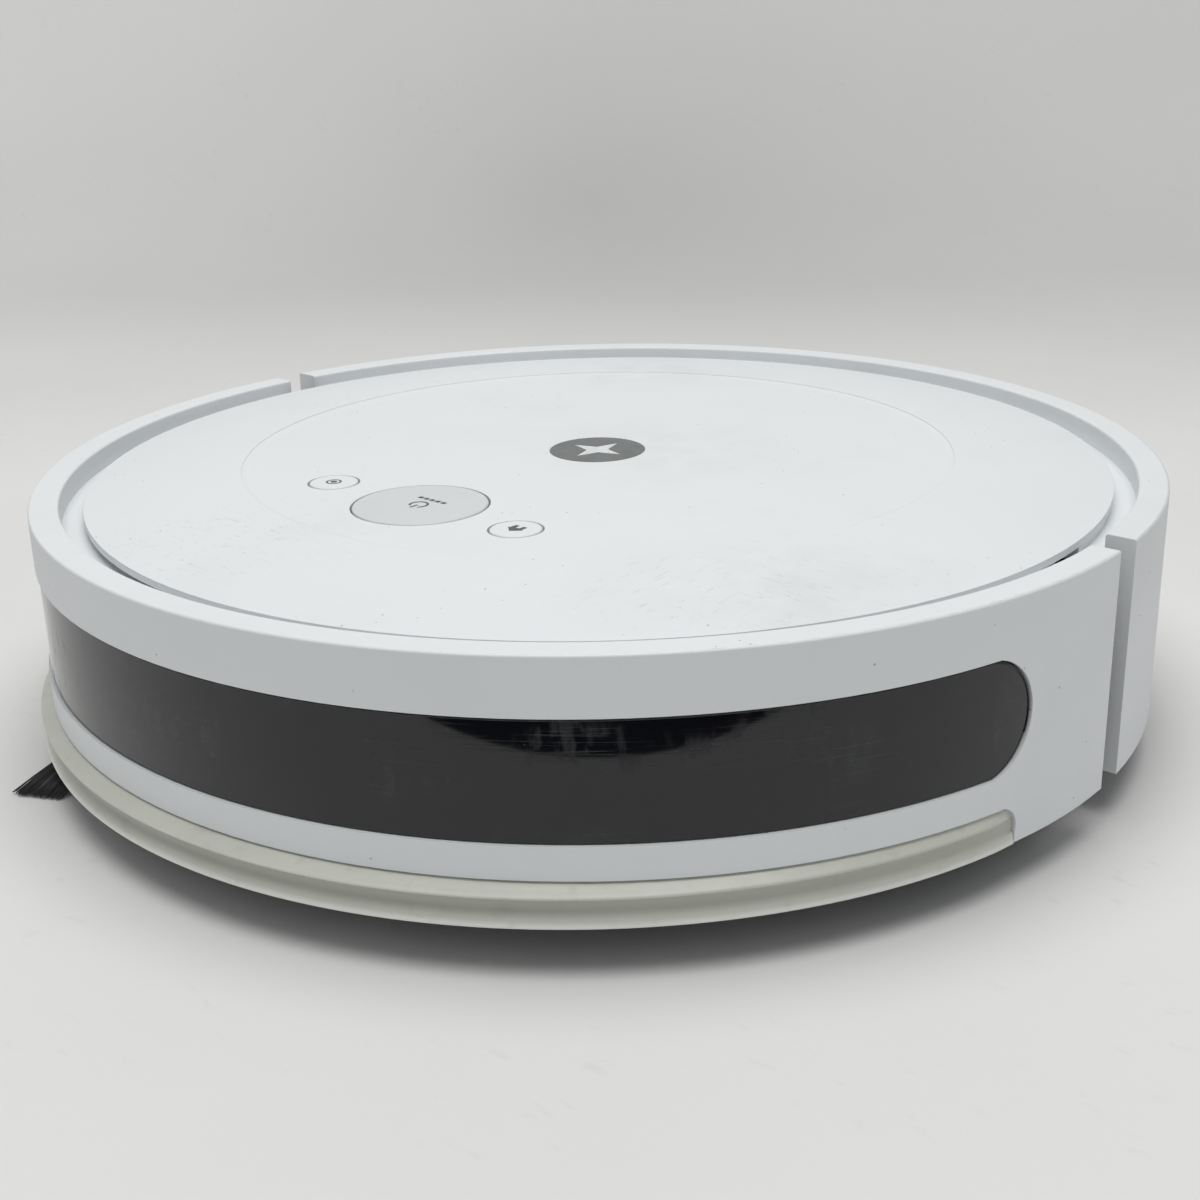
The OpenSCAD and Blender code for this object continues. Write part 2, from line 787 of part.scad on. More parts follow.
module battery_door() color(dark) difference() {
    block(-battery_w / 2, battery_w / 2, battery_mid - battery_l / 2, battery_mid + battery_l / 2,
        base_z, base_top);
    for (i = [-2:2])
        block(-22, 22, battery_mid + 9 * i - 1.2, battery_mid + 9 * i + 1.2, base_z - 1, base_z + 0.8);
    both_sides() translate([battery_w / 2 - 6, battery_mid - battery_l / 2 + 6, 0]) {
        cylinder(r = 2.3, h = base_z + 1);
        cylinder(r = 1.25, h = base_z + 3);
    }
}

// ---------- small electrical pieces ----------

module cliff_sensors() color([0.08, 0.08, 0.10]) for (a = cliff_angles)
    polar(cliff_r, a) {
        block(-4, 4, -8, 8, base_z + 0.2, base_top + 5);
        block(-2.8, 2.8, -2, 2, base_top + 4, base_top + 9);
    }

module charge_contacts() color([0.82, 0.80, 0.72])
    both_sides() translate([contact_x, contact_y, base_z]) {
        block(-contact_size[0] / 2, contact_size[0] / 2, -contact_size[1] / 2, contact_size[1] / 2, 0, 1.2);
        block(-contact_size[0] / 2, -contact_size[0] / 2 + 0.8, -3, 3, 1, base_t + 5);
    }

module speaker() color([0.2, 0.2, 0.22]) translate([72, -80, base_top]) {
    cylinder(r = 11, h = 4);
    cylinder(r = 8, h = 8);
}

module wire(points, r = 1.1) {
    for (i = [0:len(points) - 2])
        let (d = points[i + 1] - points[i], run = norm(d))
            translate(points[i]) rotate([0, acos(d[2] / run), atan2(d[1], d[0])]) cylinder(r = r, h = run);
    for (i = [1:1:len(points) - 2]) translate(points[i]) sphere(r = r * 1.02);
}

module wiring_harness() color([0.55, 0.12, 0.10]) {
    for (i = [0:2]) wire([[18 + 3 * i, -20, base_top + battery_h], [18 + 3 * i, -20, board_z]]);
    for (i = [0:1]) wire([
        [head_wall_x - brush_motor_len - 5, pinion_y + 4 * i, pinion_z + 2],
        [head_wall_x - brush_motor_len - 5, pinion_y + 4 * i, frame_z - 8],
        [26, 64 + 4 * i, frame_z - 8], [26, 64 + 4 * i, frame_top + 0.8]
    ]);
    for (i = [0:1]) wire([
        [side_x + side_motor_in * cos(45) + 4 * i - 2, side_y + side_motor_in * sin(45), base_top + 29],
        [side_x + side_motor_in * cos(45) + 4 * i - 2, side_y + side_motor_in * sin(45), frame_z - 6],
        [-42 + 4 * i, -40, frame_z - 6], [-42 + 4 * i, -40, board_z]
    ]);
}

// ---------- bumper ----------

module guide_lug() {
    difference() {
        intersection() {
            block(guide_x - lug_w / 2, guide_x + lug_w / 2, -body_r, -lug_back,
                guide_z - lug_w / 2, guide_z + lug_w / 2);
            cylinder(r = inner_r + 0.5, h = reach);
        }
        on_y(guide_x, -reach, guide_z) cylinder(r = guide_r + run_gap, h = reach);
        on_y(guide_x, -lug_back - lug_pocket, guide_z) cylinder(r = spring_pocket_r, h = lug_pocket + 1);
        block(-reach, reach, -reach, reach, window_lo - 3, reach);
    }
}

// A vane that slides between the arms of a light gate
module sensor_flag() {
    intersection() {
        block(sensor_x - 0.6, sensor_x + 0.6, -body_r, -front_wall_r + 4, base_top + 5, base_top + 12);
        cylinder(r = inner_r + 0.5, h = reach);
    }
}

// The space of the soft strip: open below, with its two upper corners rounded
module strip_recess(gap) {
    corner = 6;
    end_angle = strip_angle - asin(corner / body_r);
    r0 = body_r - wall / 2 + gap;
    low = base_z - 3;
    high = strip_top - gap;
    side_y = corner - gap;
    difference() {
        rotate([0, 0, 270 - strip_angle - 1]) rotate_extrude(angle = 2 * strip_angle + 2)
            translate([r0, low]) square([12, high - low]);
        for (side = [-1, 1])
            polar(0, 270 + side * end_angle) on_x(r0 - 10, 0, 0)
                linear_extrude(32) difference() {
                    translate([side > 0 ? 0 : -20, low - 1]) square([20, high - low + 2]);
                    translate([-side_y, low - 2]) square([2 * side_y, high - side_y - low + 2]);
                    translate([0, high - side_y]) circle(r = side_y + 0.2);
                }
    }
}

module bumper_shell() color(white) {
    difference() {
        ahead_of(bumper_end) {
            rotate_extrude() rim_section(cover_r - 3.7);
            intersection() {
                rim_end();
                both_sides() block(0, reach, bumper_end - wall, reach, 0, reach);
            }
        }
        bent_slab(inner_r - 1, body_r + 1, window_lo, window_hi, window_angle);
        strip_recess(0);
    }
    both_sides() guide_lug();
    both_sides() sensor_flag();
}

module ir_window() color([0.10, 0.10, 0.11]) {
    bent_slab(inner_r - seat_gap - 0.5, body_r - window_recess, window_lo + 0.4, window_hi - 0.4, window_angle - 0.14);
    bent_slab(inner_r - window_flange, inner_r - seat_gap, window_lo - 2, window_hi + 2, window_angle + 0.7);
}

module bumper_strip() color([0.66, 0.68, 0.62]) {
    shift = strip_proud + 0.4;
    crest = body_r + strip_proud - shift;
    intersection() {
        strip_recess(seat_gap);
        union() {
            tube(body_r - wall, body_r, base_z - 0.4, strip_top);
            translate([0, -shift, 0]) rotate_extrude() polygon([
                [crest - 14, strip_top - 0.1], [crest - 5, strip_top - 0.1], [crest, base_z + 6.6],
                [crest, base_z + 5.8], [crest - 2.6, base_z + 3.2], [crest - 2.6, base_z + 1.2],
                [crest - 1.6, base_z - 0.4], [crest - 14, base_z - 0.4]
            ]);
        }
    }
}

module proximity_board() color(board_green) {
    board_r = inner_r - window_flange - 1.8;
    rotate([0, 0, 200]) rotate_extrude(angle = 140)
        translate([board_r - 1, window_lo + 10]) square([1, 14]);
    for (i = [0:6])
        polar(board_r - 0.2, 210 + 20 * i)
            translate([0, 0, window_lo + 17]) rotate([0, 90, 0]) cylinder(r = 1.5, h = 1.6);
}

module bumper_guide_pins() color(steel) both_sides()
    on_y(guide_x, -lug_back - guide_reach, guide_z)
        cylinder(r = guide_r, h = guide_reach + lug_back - bracket_front + bracket_t);

module bumper_springs() color(steel) both_sides()
    on_y(guide_x, -lug_back - lug_pocket + 0.1, guide_z)
        coil(3.4, 0.5, 4, lug_pocket + lug_back - bracket_front + bracket_pocket - 0.2);

module bumper_sensors() color([0.1, 0.1, 0.12]) both_sides() difference() {
    block(sensor_x - 4, sensor_x + 4, -front_wall_r - 3, -front_wall_r + 5, base_top, base_top + 15);
    block(sensor_x - 1.6, sensor_x + 1.6, -reach, -front_wall_r + 8, base_top + 3, base_top + 16);
}

// ---------- caster ----------

module caster_fork() color(dark) translate([0, caster_y, 0]) difference() {
    union() {
        translate([0, 0, fork_z]) cylinder(r = fork_r, h = fork_top - fork_z);
        cylinder_stem = socket_top + 3.4 - fork_top;
        translate([0, 0, fork_top - 1]) cylinder(r = stem_r, h = cylinder_stem + 1);
    }
    on_x(-caster_w / 2 - 0.7, caster_trail, caster_r) cylinder(r = caster_r + 1.2, h = caster_w + 1.4);
    block(-caster_w / 2 - 0.7, caster_w / 2 + 0.7, caster_trail - caster_r - 1.1,
        caster_trail + caster_r + 1.1, 0, caster_r);
    on_x(-caster_axle_len / 2 - seat_gap, caster_trail, caster_r)
        cylinder(r = caster_axle_r + 0.02, h = caster_axle_len + 2 * seat_gap);
    translate([0, 0, socket_top + 0.4]) tube(stem_r - 0.8, stem_r + 1, 0, clip_t + 0.1);
}

module caster_axle() color(steel) on_x(-caster_axle_len / 2, caster_y + caster_trail, caster_r)
    cylinder(r = caster_axle_r, h = caster_axle_len);

module caster_clip() color(steel) translate([0, caster_y, socket_top + 0.45]) difference() {
    cylinder(r = stem_r + 3, h = clip_t);
    translate([0, 0, -1]) cylinder(r = stem_r - 0.75, h = clip_t + 2);
    block(-1.6, 1.6, 0, stem_r + 5, -1, clip_t + 1);
}

module caster_wheel() color([0.13, 0.13, 0.14]) on_x(-caster_w / 2, caster_y + caster_trail, caster_r)
    rotate_extrude() difference() {
        union() {
            translate([caster_axle_r + run_gap, 0]) square([caster_r - 1.5 - caster_axle_r - run_gap, caster_w]);
            translate([caster_r - 3, 1.5]) square([3, caster_w - 3]);
            for (h = [1.5, caster_w - 1.5]) translate([caster_r - 1.5, h]) circle(r = 1.5);
        }
        for (h = [-1, caster_w - 1]) translate([caster_r * 0.4, h]) square([caster_r * 0.35, 2]);
    }

// ---------- side brush ----------

module at_side_brush() {
    translate([side_x, side_y, 0]) children();
}

module side_brush_motor() color([0.22, 0.22, 0.24]) at_side_brush() difference() {
    union() {
        translate([0, 0, base_top]) cylinder(r = side_gearbox_r, h = 20);
        polar(side_motor_in, 45) translate([0, 0, base_top]) cylinder(r = side_motor_r, h = 29);
        rotate([0, 0, 45]) block(2, side_motor_in, -7, 7, base_top, base_top + 14);
    }
    translate([0, 0, base_top - 1]) cylinder(r = side_shaft_r + run_gap, h = 9);
}

module side_brush_hub() color([0.13, 0.13, 0.14]) at_side_brush() difference() {
    union() {
        translate([0, 0, side_hub_z]) cylinder(r = side_hub_r, h = side_hub_top - side_hub_z);
        translate([0, 0, side_hub_top - 1]) cylinder(r = side_shaft_r, h = base_top + 7 - side_hub_top);
        for (i = [0:side_arms - 1])
            rotate([0, 0, side_start + 360 * i / side_arms])
                translate([0, 0, side_hub_z + 1]) linear_extrude(3.4)
                    polygon([[4, -5], [34, -3.2], [36, 0], [34, 3.2], [4, 5]]);
    }
    translate([0, 0, side_hub_z - 1]) cylinder(r = 3.2, h = 3);
    translate([0, 0, side_hub_z - 1]) cylinder(r = 1.3, h = 14);
}

module side_brush_bristles() color([0.05, 0.05, 0.05]) at_side_brush()
    for (i = [0:side_arms - 1], j = [0:bristles_per_arm - 1])
        let (spread = (j - (bristles_per_arm - 1) / 2) / bristles_per_arm, start = 36.4,
            out = side_reach - start - 4 * abs(spread), drop = side_hub_z + 2.6 - 1.2)
            rotate([0, 0, side_start + 360 * i / side_arms])
                translate([start, spread * 5.6, side_hub_z + 2.6])
                    rotate([0, 90 + atan2(drop, out), bristle_sweep + spread * 22])
                        cylinder(r = bristle_r, h = sqrt(out * out + drop * drop), $fn = 16);

module side_brush_screw() color(steel) at_side_brush()
    translate([0, 0, side_hub_z + 2]) screw(8, 1.25, 2.8, 1.4);

// ---------- main brush and cleaning head ----------

module gear_pocket(extra, x0, x1) {
    on_x(x0, brush_y, brush_z) cylinder(r = gear_mod * (brush_teeth / 2 + 1) + extra, h = x1 - x0);
    on_x(x0, idler_y, idler_z) cylinder(r = gear_mod * (idler_teeth / 2 + 1) + extra, h = x1 - x0);
    on_x(x0, pinion_y, pinion_z) cylinder(r = gear_mod * (pinion_teeth / 2 + 1) + extra, h = x1 - x0);
}

module cleaning_head() color([0.25, 0.26, 0.28]) difference() {
    union() {
        on_x(head_x0, brush_y, brush_z) cylinder(r = brush_r + head_clear + head_t, h = head_wall_x + 1.5 - head_x0);
        block(head_x0, head_wall_x + 1.5, brush_y - brush_r - 4, brush_y + brush_r + 4, base_z, brush_z);
        gear_pocket(head_t, head_wall_x, head_x1);
        block(throat[0][0] - head_t, throat[0][1] + head_t, brush_y + 10, bin_y - 0.3,
            throat[1][0] - head_t, throat[1][1] + head_t);
        for (p = [[-78, brush_y - brush_r - 8], [60, brush_y - brush_r - 8]])
            translate([p[0], p[1], base_top]) cylinder(r = 4, h = 6);
        for (x = [-78, 60]) block(x - 2, x + 2, brush_y - brush_r - 8, brush_y - brush_r - 2, base_top, base_top + 6);
    }
    block(-reach, reach, -reach, reach, -reach, base_z);
    on_x(head_x0 + head_t + 0.5, brush_y, brush_z)
        cylinder(r = brush_r + head_clear, h = head_wall_x - head_x0 - head_t - 0.5);
    block(head_x0 + head_t + 0.5, head_wall_x, brush_y - brush_r - head_clear, brush_y + brush_r + head_clear,
        0, brush_z);
    block(throat[0][0], throat[0][1], brush_y + 8, bin_y + 1, throat[1][0], throat[1][1]);
    gear_pocket(0.6, head_wall_x + 1.5, head_x1 + 1);
    on_x(head_x0 - 1, brush_y, brush_z) cylinder(r = brush_shaft_r + 2.1, h = 10);
    on_x(head_wall_x - 1, brush_y, brush_z) cylinder(r = brush_shaft_r + run_gap, h = 5);
    on_x(head_wall_x - 1, pinion_y, pinion_z) cylinder(r = pinion_shaft_r + run_gap, h = 5);
}

// Carries the idler's pin and closes the gear case
module brush_gear_cover() color([0.22, 0.23, 0.25]) {
    difference() {
        gear_pocket(head_t, head_x1, head_x1 + gear_cover_t);
        on_x(head_x1 - 1, brush_y, brush_z) cylinder(r = brush_shaft_r + run_gap, h = gear_cover_t + 2);
    }
    on_x(head_wall_x + 1.5, idler_y, idler_z) cylinder(r = idler_pin_r, h = head_x1 - head_wall_x - 1);
}

module brush_bearing() color([0.85, 0.84, 0.80]) on_x(head_x0, brush_y, brush_z) difference() {
    cylinder(r = brush_shaft_r + 2.1 - 0.03, h = 2.5);
    translate([0, 0, -1]) cylinder(r = brush_shaft_r + run_gap, h = 5);
}

module brush_motor() color(steel) difference() {
    on_x(head_wall_x - brush_motor_len, pinion_y, pinion_z) {
        cylinder(r = brush_motor_r, h = brush_motor_len);
        translate([0, 0, -2]) cylinder(r = 4, h = 3);
    }
    on_x(head_wall_x - 8, pinion_y, pinion_z) cylinder(r = pinion_shaft_r + run_gap, h = 10);
}

module main_brush_core() color([0.42, 0.43, 0.45]) {
    on_x(brush_x0, brush_y, brush_z) cylinder(r = core_d / 2, h = brush_x1 - brush_x0);
    on_x(head_x0, brush_y, brush_z) cylinder(r = brush_shaft_r, h = 5);
    on_x(brush_x1 - 1, brush_y, brush_z) cylinder(r = brush_shaft_r, h = head_x1 + gear_cover_t - brush_x1 + 1);
    for (x = [brush_x0, brush_x1 - 2])
        on_x(x, brush_y, brush_z) cylinder(r = core_d / 2 + 3, h = 2);
}

// One row that winds round the core and back again, so that it forms a wide V
module brush_row(r0, r1, thick, angle) {
    half = (brush_x1 - brush_x0 - 6) / 2;
    on_x((brush_x0 + brush_x1) / 2, brush_y, brush_z)
        for (side = [0, 1])
            mirror([0, 0, side]) linear_extrude(half, twist = 60, slices = 14, $fn = 12)
                rotate(angle) translate([r0, -thick / 2]) square([r1 - r0, thick]);
}

module main_brush_vanes() color([0.20, 0.21, 0.22]) for (i = [0:bristle_rows - 1])
    brush_row(core_d / 2 + 0.05, brush_r - 1.5, 2, 360 * (i + 0.5) / bristle_rows);

module main_brush_bristles() color([0.75, 0.74, 0.70]) for (i = [0:bristle_rows - 1])
    brush_row(core_d / 2 + 0.05, brush_r, 3.2, 360 * i / bristle_rows);

module brush_gear() color([0.92, 0.90, 0.84]) on_x(gear_x, brush_y, brush_z)
    gear(brush_teeth, gear_w, brush_shaft_r, idler_angle);

module brush_idler_gear() color([0.92, 0.90, 0.84]) on_x(gear_x, idler_y, idler_z)
    gear(idler_teeth, gear_w, idler_pin_r + run_gap, idler_angle + 180 + 180 / idler_teeth);

module brush_pinion() color([0.75, 0.65, 0.35]) {
    on_x(gear_x, pinion_y, pinion_z) gear(pinion_teeth, gear_w, pinion_shaft_r - 0.1, 0);
    on_x(head_wall_x - 7.5, pinion_y, pinion_z) cylinder(r = pinion_shaft_r, h = gear_x + gear_w - head_wall_x + 7.5);
}

module brush_frame() color([0.30, 0.31, 0.33]) difference() {
    union() {
        block(head_x0 - 1, head_x1 + 1, frame_hinge_y - 2.6, brush_y + brush_r + 5.4, frame_z0, frame_z1);
        both_sides() translate([46, 0, 0])
            block(-9, 9, brush_y + brush_r + 5, brush_y + brush_r + 7.4, frame_z0, frame_z1);
    }
    block(head_x0 + 4, head_wall_x - 0.5, brush_y - brush_r * 0.86 - mouth_gap, brush_y + brush_r + 0.6,
        frame_z0 - 1, frame_z1 + 1);
    for (i = [0:3])
        block(head_wall_x + 2.4 + 3 * i, head_wall_x + 3.6 + 3 * i, brush_y - 18, brush_y + 18,
            frame_z0 - 1, frame_z0 + 0.6);
}

// ---------- dust bin ----------

module bin_outline(inset, back) {
    intersection() {
        translate([-bin_w / 2 + inset, bin_y + inset]) square([bin_w - 2 * inset, reach]);
        circle(r = body_r - back);
    }
}

module bin_body() color(white) difference() {
    translate([0, 0, bin_z]) linear_extrude(bin_h - bin_lid_t) bin_outline(0, 0);
    translate([0, 0, bin_z + bin_wall]) linear_extrude(bin_h) bin_outline(bin_wall, wall);
    block(throat[0][0], throat[0][1], bin_y - 1, bin_y + bin_wall + 1, throat[1][0], throat[1][1]);
    block(-bin_w / 2 - 1, -bin_w / 2 + bin_wall + 1, fan_inlet[0][0] + 3, fan_inlet[0][1] - 1,
        fan_inlet[1][0] + 2, fan_inlet[1][1] - 2);
    on_y(0, body_r - 20, release_z) cylinder(r = release_r + 0.4, h = 40);
}

module bin_lid() color([0.80, 0.81, 0.82]) {
    difference() {
        translate([0, 0, bin_top - bin_lid_t]) linear_extrude(bin_lid_t) bin_outline(0, 0);
        for (i = [-4:4])
            block(-16, 16, 118 + 4 * i - 0.8, 118 + 4 * i + 0.8, bin_top - 0.7, bin_top + 1);
    }
    difference() {
        translate([0, 0, bin_top - bin_lid_t - 2]) linear_extrude(2.2)
            difference() {
                bin_outline(bin_wall + seat_gap, wall + seat_gap);
                bin_outline(bin_wall + 1.6, wall + 1.6);
            }
        block(-reach, -bin_w / 2 + bin_wall + 9, bin_y, bin_y + 50, 0, reach);
    }
}

// A folded paper filter in a frame, over the opening towards the fan
module bin_filter() color([0.92, 0.92, 0.88]) {
    x = -bin_w / 2 + bin_wall + 0.1;
    y0 = bin_y + bin_wall + 0.5;
    folds = 6;
    pitch = 2.2;
    z0 = fan_inlet[1][0] - 1;
    z1 = fan_inlet[1][1] + 1;
    difference() {
        block(x, x + 7, y0, y0 + folds * pitch + 4, z0 - 2, z1 + 2);
        block(x - 1, x + 8, y0 + 2, y0 + folds * pitch + 2, z0, z1);
    }
    translate([x, y0 + 2, z0]) linear_extrude(z1 - z0)
        polygon(concat(
            [for (i = [0:folds]) [i % 2 == 0 ? 0.4 : 5.4, pitch * i]],
            [for (i = [folds:-1:0]) [i % 2 == 0 ? 1.6 : 6.6, pitch * i]]));
}

module bin_release() color([0.55, 0.57, 0.60]) {
    face = body_r - 0.4;
    on_y(0, face - 8, release_z) cylinder(r = release_r, h = 8);
    intersection() {
        on_y(0, face - 10.6, release_z) cylinder(r = release_r + 2, h = 2.6 + 8 - wall - 0.6);
        cylinder(r = inner_r - 0.3, h = reach);
    }
}

// ---------- fan ----------

module fan_housing() color([0.28, 0.29, 0.31]) difference() {
    union() {
        translate([fan_x, fan_y, fan_z]) cylinder(r = fan_r, h = fan_top - fan_z);
        block(fan_x + 8, -bin_w / 2 - bay_gap - bay_rail_t - 0.2, fan_inlet[0][0], fan_inlet[0][1],
            fan_inlet[1][0], fan_inlet[1][1]);
    }
    translate([fan_x, fan_y, fan_z + fan_wall]) cylinder(r = fan_r - fan_wall, h = fan_top - fan_z - 2 * fan_wall);
    block(fan_x + 10, -bin_w / 2 + 5, fan_inlet[0][0] + fan_wall, fan_inlet[0][1] - fan_wall,
        fan_inlet[1][0] + fan_wall, fan_inlet[1][1] - fan_wall);
    translate([fan_x, fan_y, fan_z - 1]) cylinder(r = 4, h = 5);
    translate([fan_x, fan_y, 0]) rotate([0, 0, 149]) block(fan_r - 6, fan_r + 6, -9, 9, fan_z + 5, fan_top - 5);
}

module fan_motor() color(steel) translate([fan_x, fan_y, 0]) difference() {
    translate([0, 0, base_top]) cylinder(r = fan_motor_r, h = fan_z - base_top);
    translate([0, 0, fan_z - 8]) cylinder(r = fan_shaft_r + run_gap, h = 10);
}

module fan_impeller() color([0.78, 0.80, 0.82]) translate([fan_x, fan_y, 0]) {
    floor_z = fan_z + fan_wall + 1;
    translate([0, 0, floor_z]) cylinder(r = impeller_d / 2, h = 1.4);
    translate([0, 0, floor_z]) cylinder(r = 5, h = 12);
    translate([0, 0, fan_z - 7]) cylinder(r = fan_shaft_r, h = floor_z - fan_z + 8);
    for (i = [0:blade_count - 1])
        rotate([0, 0, 360 * i / blade_count])
            translate([4, 0, floor_z + 1]) rotate([0, 0, 24]) block(0, impeller_d / 2 - 5.2, -0.5, 0.5, 0, 9);
}

// ---------- drive modules ----------

module drive_housing() difference() {
    union() {
        on_x(housing_in, 0, axle_z) cylinder(r = housing_axle_r, h = housing_out - housing_in);
        on_x(housing_in, pivot_y, axle_z) cylinder(r = housing_pivot_r, h = housing_out - housing_in);
        on_x(housing_in, 0, axle_z) linear_extrude(housing_out - housing_in)
            polygon([
                [0, 0.4 - housing_axle_r], [0, housing_axle_r - 0.4],
                [pivot_y, housing_pivot_r - 0.4], [pivot_y, 0.4 - housing_pivot_r]
            ]);
        on_x(housing_out - 1, pivot_y, axle_z) cylinder(r = trunnion_r, h = trunnion_len + 1);
        translate([(housing_in + housing_out) / 2, spring_y, axle_z]) cylinder(r = 6, h = spring_seat_z - axle_z);
    }
    on_x(housing_in - 1, 0, axle_z) cylinder(r = axle_r + run_gap, h = housing_out - housing_in + 2);
}

module drive_motor() difference() {
    on_x(housing_in - motor_len, pivot_y, axle_z) cylinder(r = motor_r, h = motor_len);
    on_x(housing_in - motor_len - 1, pivot_y, axle_z) tube(motor_r - 1.2, motor_r + 1, 0, 4);
}

module motor_trunnion() {
    on_x(housing_in - motor_len - trunnion_len, pivot_y, axle_z) cylinder(r = trunnion_r, h = trunnion_len + 1);
}

module wheel_hub() {
    hub_r = wheel_r - tyre_t;
    x0 = wheel_x - wheel_w / 2 + 0.5;
    width = wheel_w - 1;
    difference() {
        on_x(x0, 0, axle_z) cylinder(r = hub_r, h = width);
        on_x(x0 + 4, 0, axle_z) tube(9, hub_r - 3, 0, width);
    }
    for (i = [0:5])
        on_x(x0 + 3, 0, axle_z) rotate([0, 0, 60 * i]) block(7, hub_r - 2, -1.5, 1.5, 0, width - 5);
    on_x(housing_in + 1, 0, axle_z) cylinder(r = axle_r, h = x0 - housing_in);
}

module tyre() {
    hub_r = wheel_r - tyre_t;
    treads = 30;
    on_x(wheel_x - wheel_w / 2, 0, axle_z) difference() {
        rotate_extrude() translate([hub_r, 0]) difference() {
            square([tyre_t, wheel_w]);
            for (h = [wheel_w / 3, 2 * wheel_w / 3]) translate([tyre_t - 1.2, h - 0.6]) square([2, 1.2]);
        }
        for (i = [0:treads - 1])
            rotate([0, 0, 360 * (i + 0.5) / treads]) block(wheel_r - 1.6, wheel_r + 2, -1.1, 1.1, -1, wheel_w / 3 - 1.5);
        for (i = [0:treads - 1])
            rotate([0, 0, 360 * (i + 0.5) / treads])
                block(wheel_r - 1.6, wheel_r + 2, -1.1, 1.1, 2 * wheel_w / 3 + 1.5, wheel_w + 1);
    }
}

module right_side() {
    mirror([1, 0, 0]) children();
}

module left_drive_housing() color([0.20, 0.21, 0.22]) drive_housing();
module left_drive_motor() color(steel) { drive_motor(); motor_trunnion(); }
module left_wheel_hub() color([0.45, 0.46, 0.48]) wheel_hub();
module left_tyre() color([0.06, 0.06, 0.06]) tyre();
module right_drive_housing() color([0.20, 0.21, 0.22]) right_side() drive_housing();
module right_drive_motor() color(steel) right_side() { drive_motor(); motor_trunnion(); }
module right_wheel_hub() color([0.45, 0.46, 0.48]) right_side() wheel_hub();
module right_tyre() color([0.06, 0.06, 0.06]) right_side() tyre();

chassis_base();
rear_shell();
upper_frame();
top_cover();
badge();
button_board();
main_board();
frame_screws();
base_screws();
battery_case();
battery_cells();
battery_door();
cliff_sensors();
charge_contacts();
speaker();
wiring_harness();
bumper_guide_pins();
bumper_sensors();
bumper_springs();
side_brush_motor();
cleaning_head();
brush_gear_cover();
brush_bearing();
brush_motor();
fan_housing();
fan_motor();
clean_button();
spot_button();
dock_button();
bumper_shell();
ir_window();
bumper_strip();
proximity_board();
caster_fork();
caster_axle();
caster_clip();
caster_wheel();
side_brush_hub();
side_brush_bristles();
side_brush_screw();
main_brush_core();
main_brush_vanes();
main_brush_bristles();
brush_gear();
brush_idler_gear();
brush_pinion();
brush_frame();
bin_body();
bin_lid();
bin_filter();
bin_release();
fan_impeller();
left_drive_housing();
left_drive_motor();
left_wheel_hub();
left_tyre();
right_drive_housing();
right_drive_motor();
right_wheel_hub();
right_tyre();
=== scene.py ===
"""Looks, light and camera of a robot vacuum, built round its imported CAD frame. Lengths are in metres."""
import json
import math
import random

import bpy
from mathutils import Matrix, Vector


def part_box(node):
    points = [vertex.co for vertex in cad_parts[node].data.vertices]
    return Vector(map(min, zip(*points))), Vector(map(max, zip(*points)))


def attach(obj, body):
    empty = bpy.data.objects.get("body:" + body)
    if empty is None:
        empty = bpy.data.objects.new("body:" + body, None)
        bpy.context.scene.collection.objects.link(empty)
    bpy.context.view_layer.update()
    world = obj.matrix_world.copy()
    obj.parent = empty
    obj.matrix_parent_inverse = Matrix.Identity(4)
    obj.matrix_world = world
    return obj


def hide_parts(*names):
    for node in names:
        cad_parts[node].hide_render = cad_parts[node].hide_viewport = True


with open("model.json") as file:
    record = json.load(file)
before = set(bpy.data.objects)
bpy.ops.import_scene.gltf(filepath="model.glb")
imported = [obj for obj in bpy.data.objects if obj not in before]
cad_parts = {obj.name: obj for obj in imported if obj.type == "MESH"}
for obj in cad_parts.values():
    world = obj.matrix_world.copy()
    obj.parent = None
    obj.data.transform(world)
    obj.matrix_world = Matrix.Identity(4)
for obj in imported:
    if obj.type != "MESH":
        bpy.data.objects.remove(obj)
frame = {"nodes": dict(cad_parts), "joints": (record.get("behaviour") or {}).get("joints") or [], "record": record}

MM = 0.001
UP = Vector((0, 0, 1))
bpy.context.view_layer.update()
RECORD = frame["record"]
JOINTS = {joint["name"]: joint for joint in frame["joints"]}


# ---------- shader building ----------

BEVEL_SAMPLES = 4
WORN_EDGE = 0.6 * MM
FINE_GRAIN = 0.4 * MM


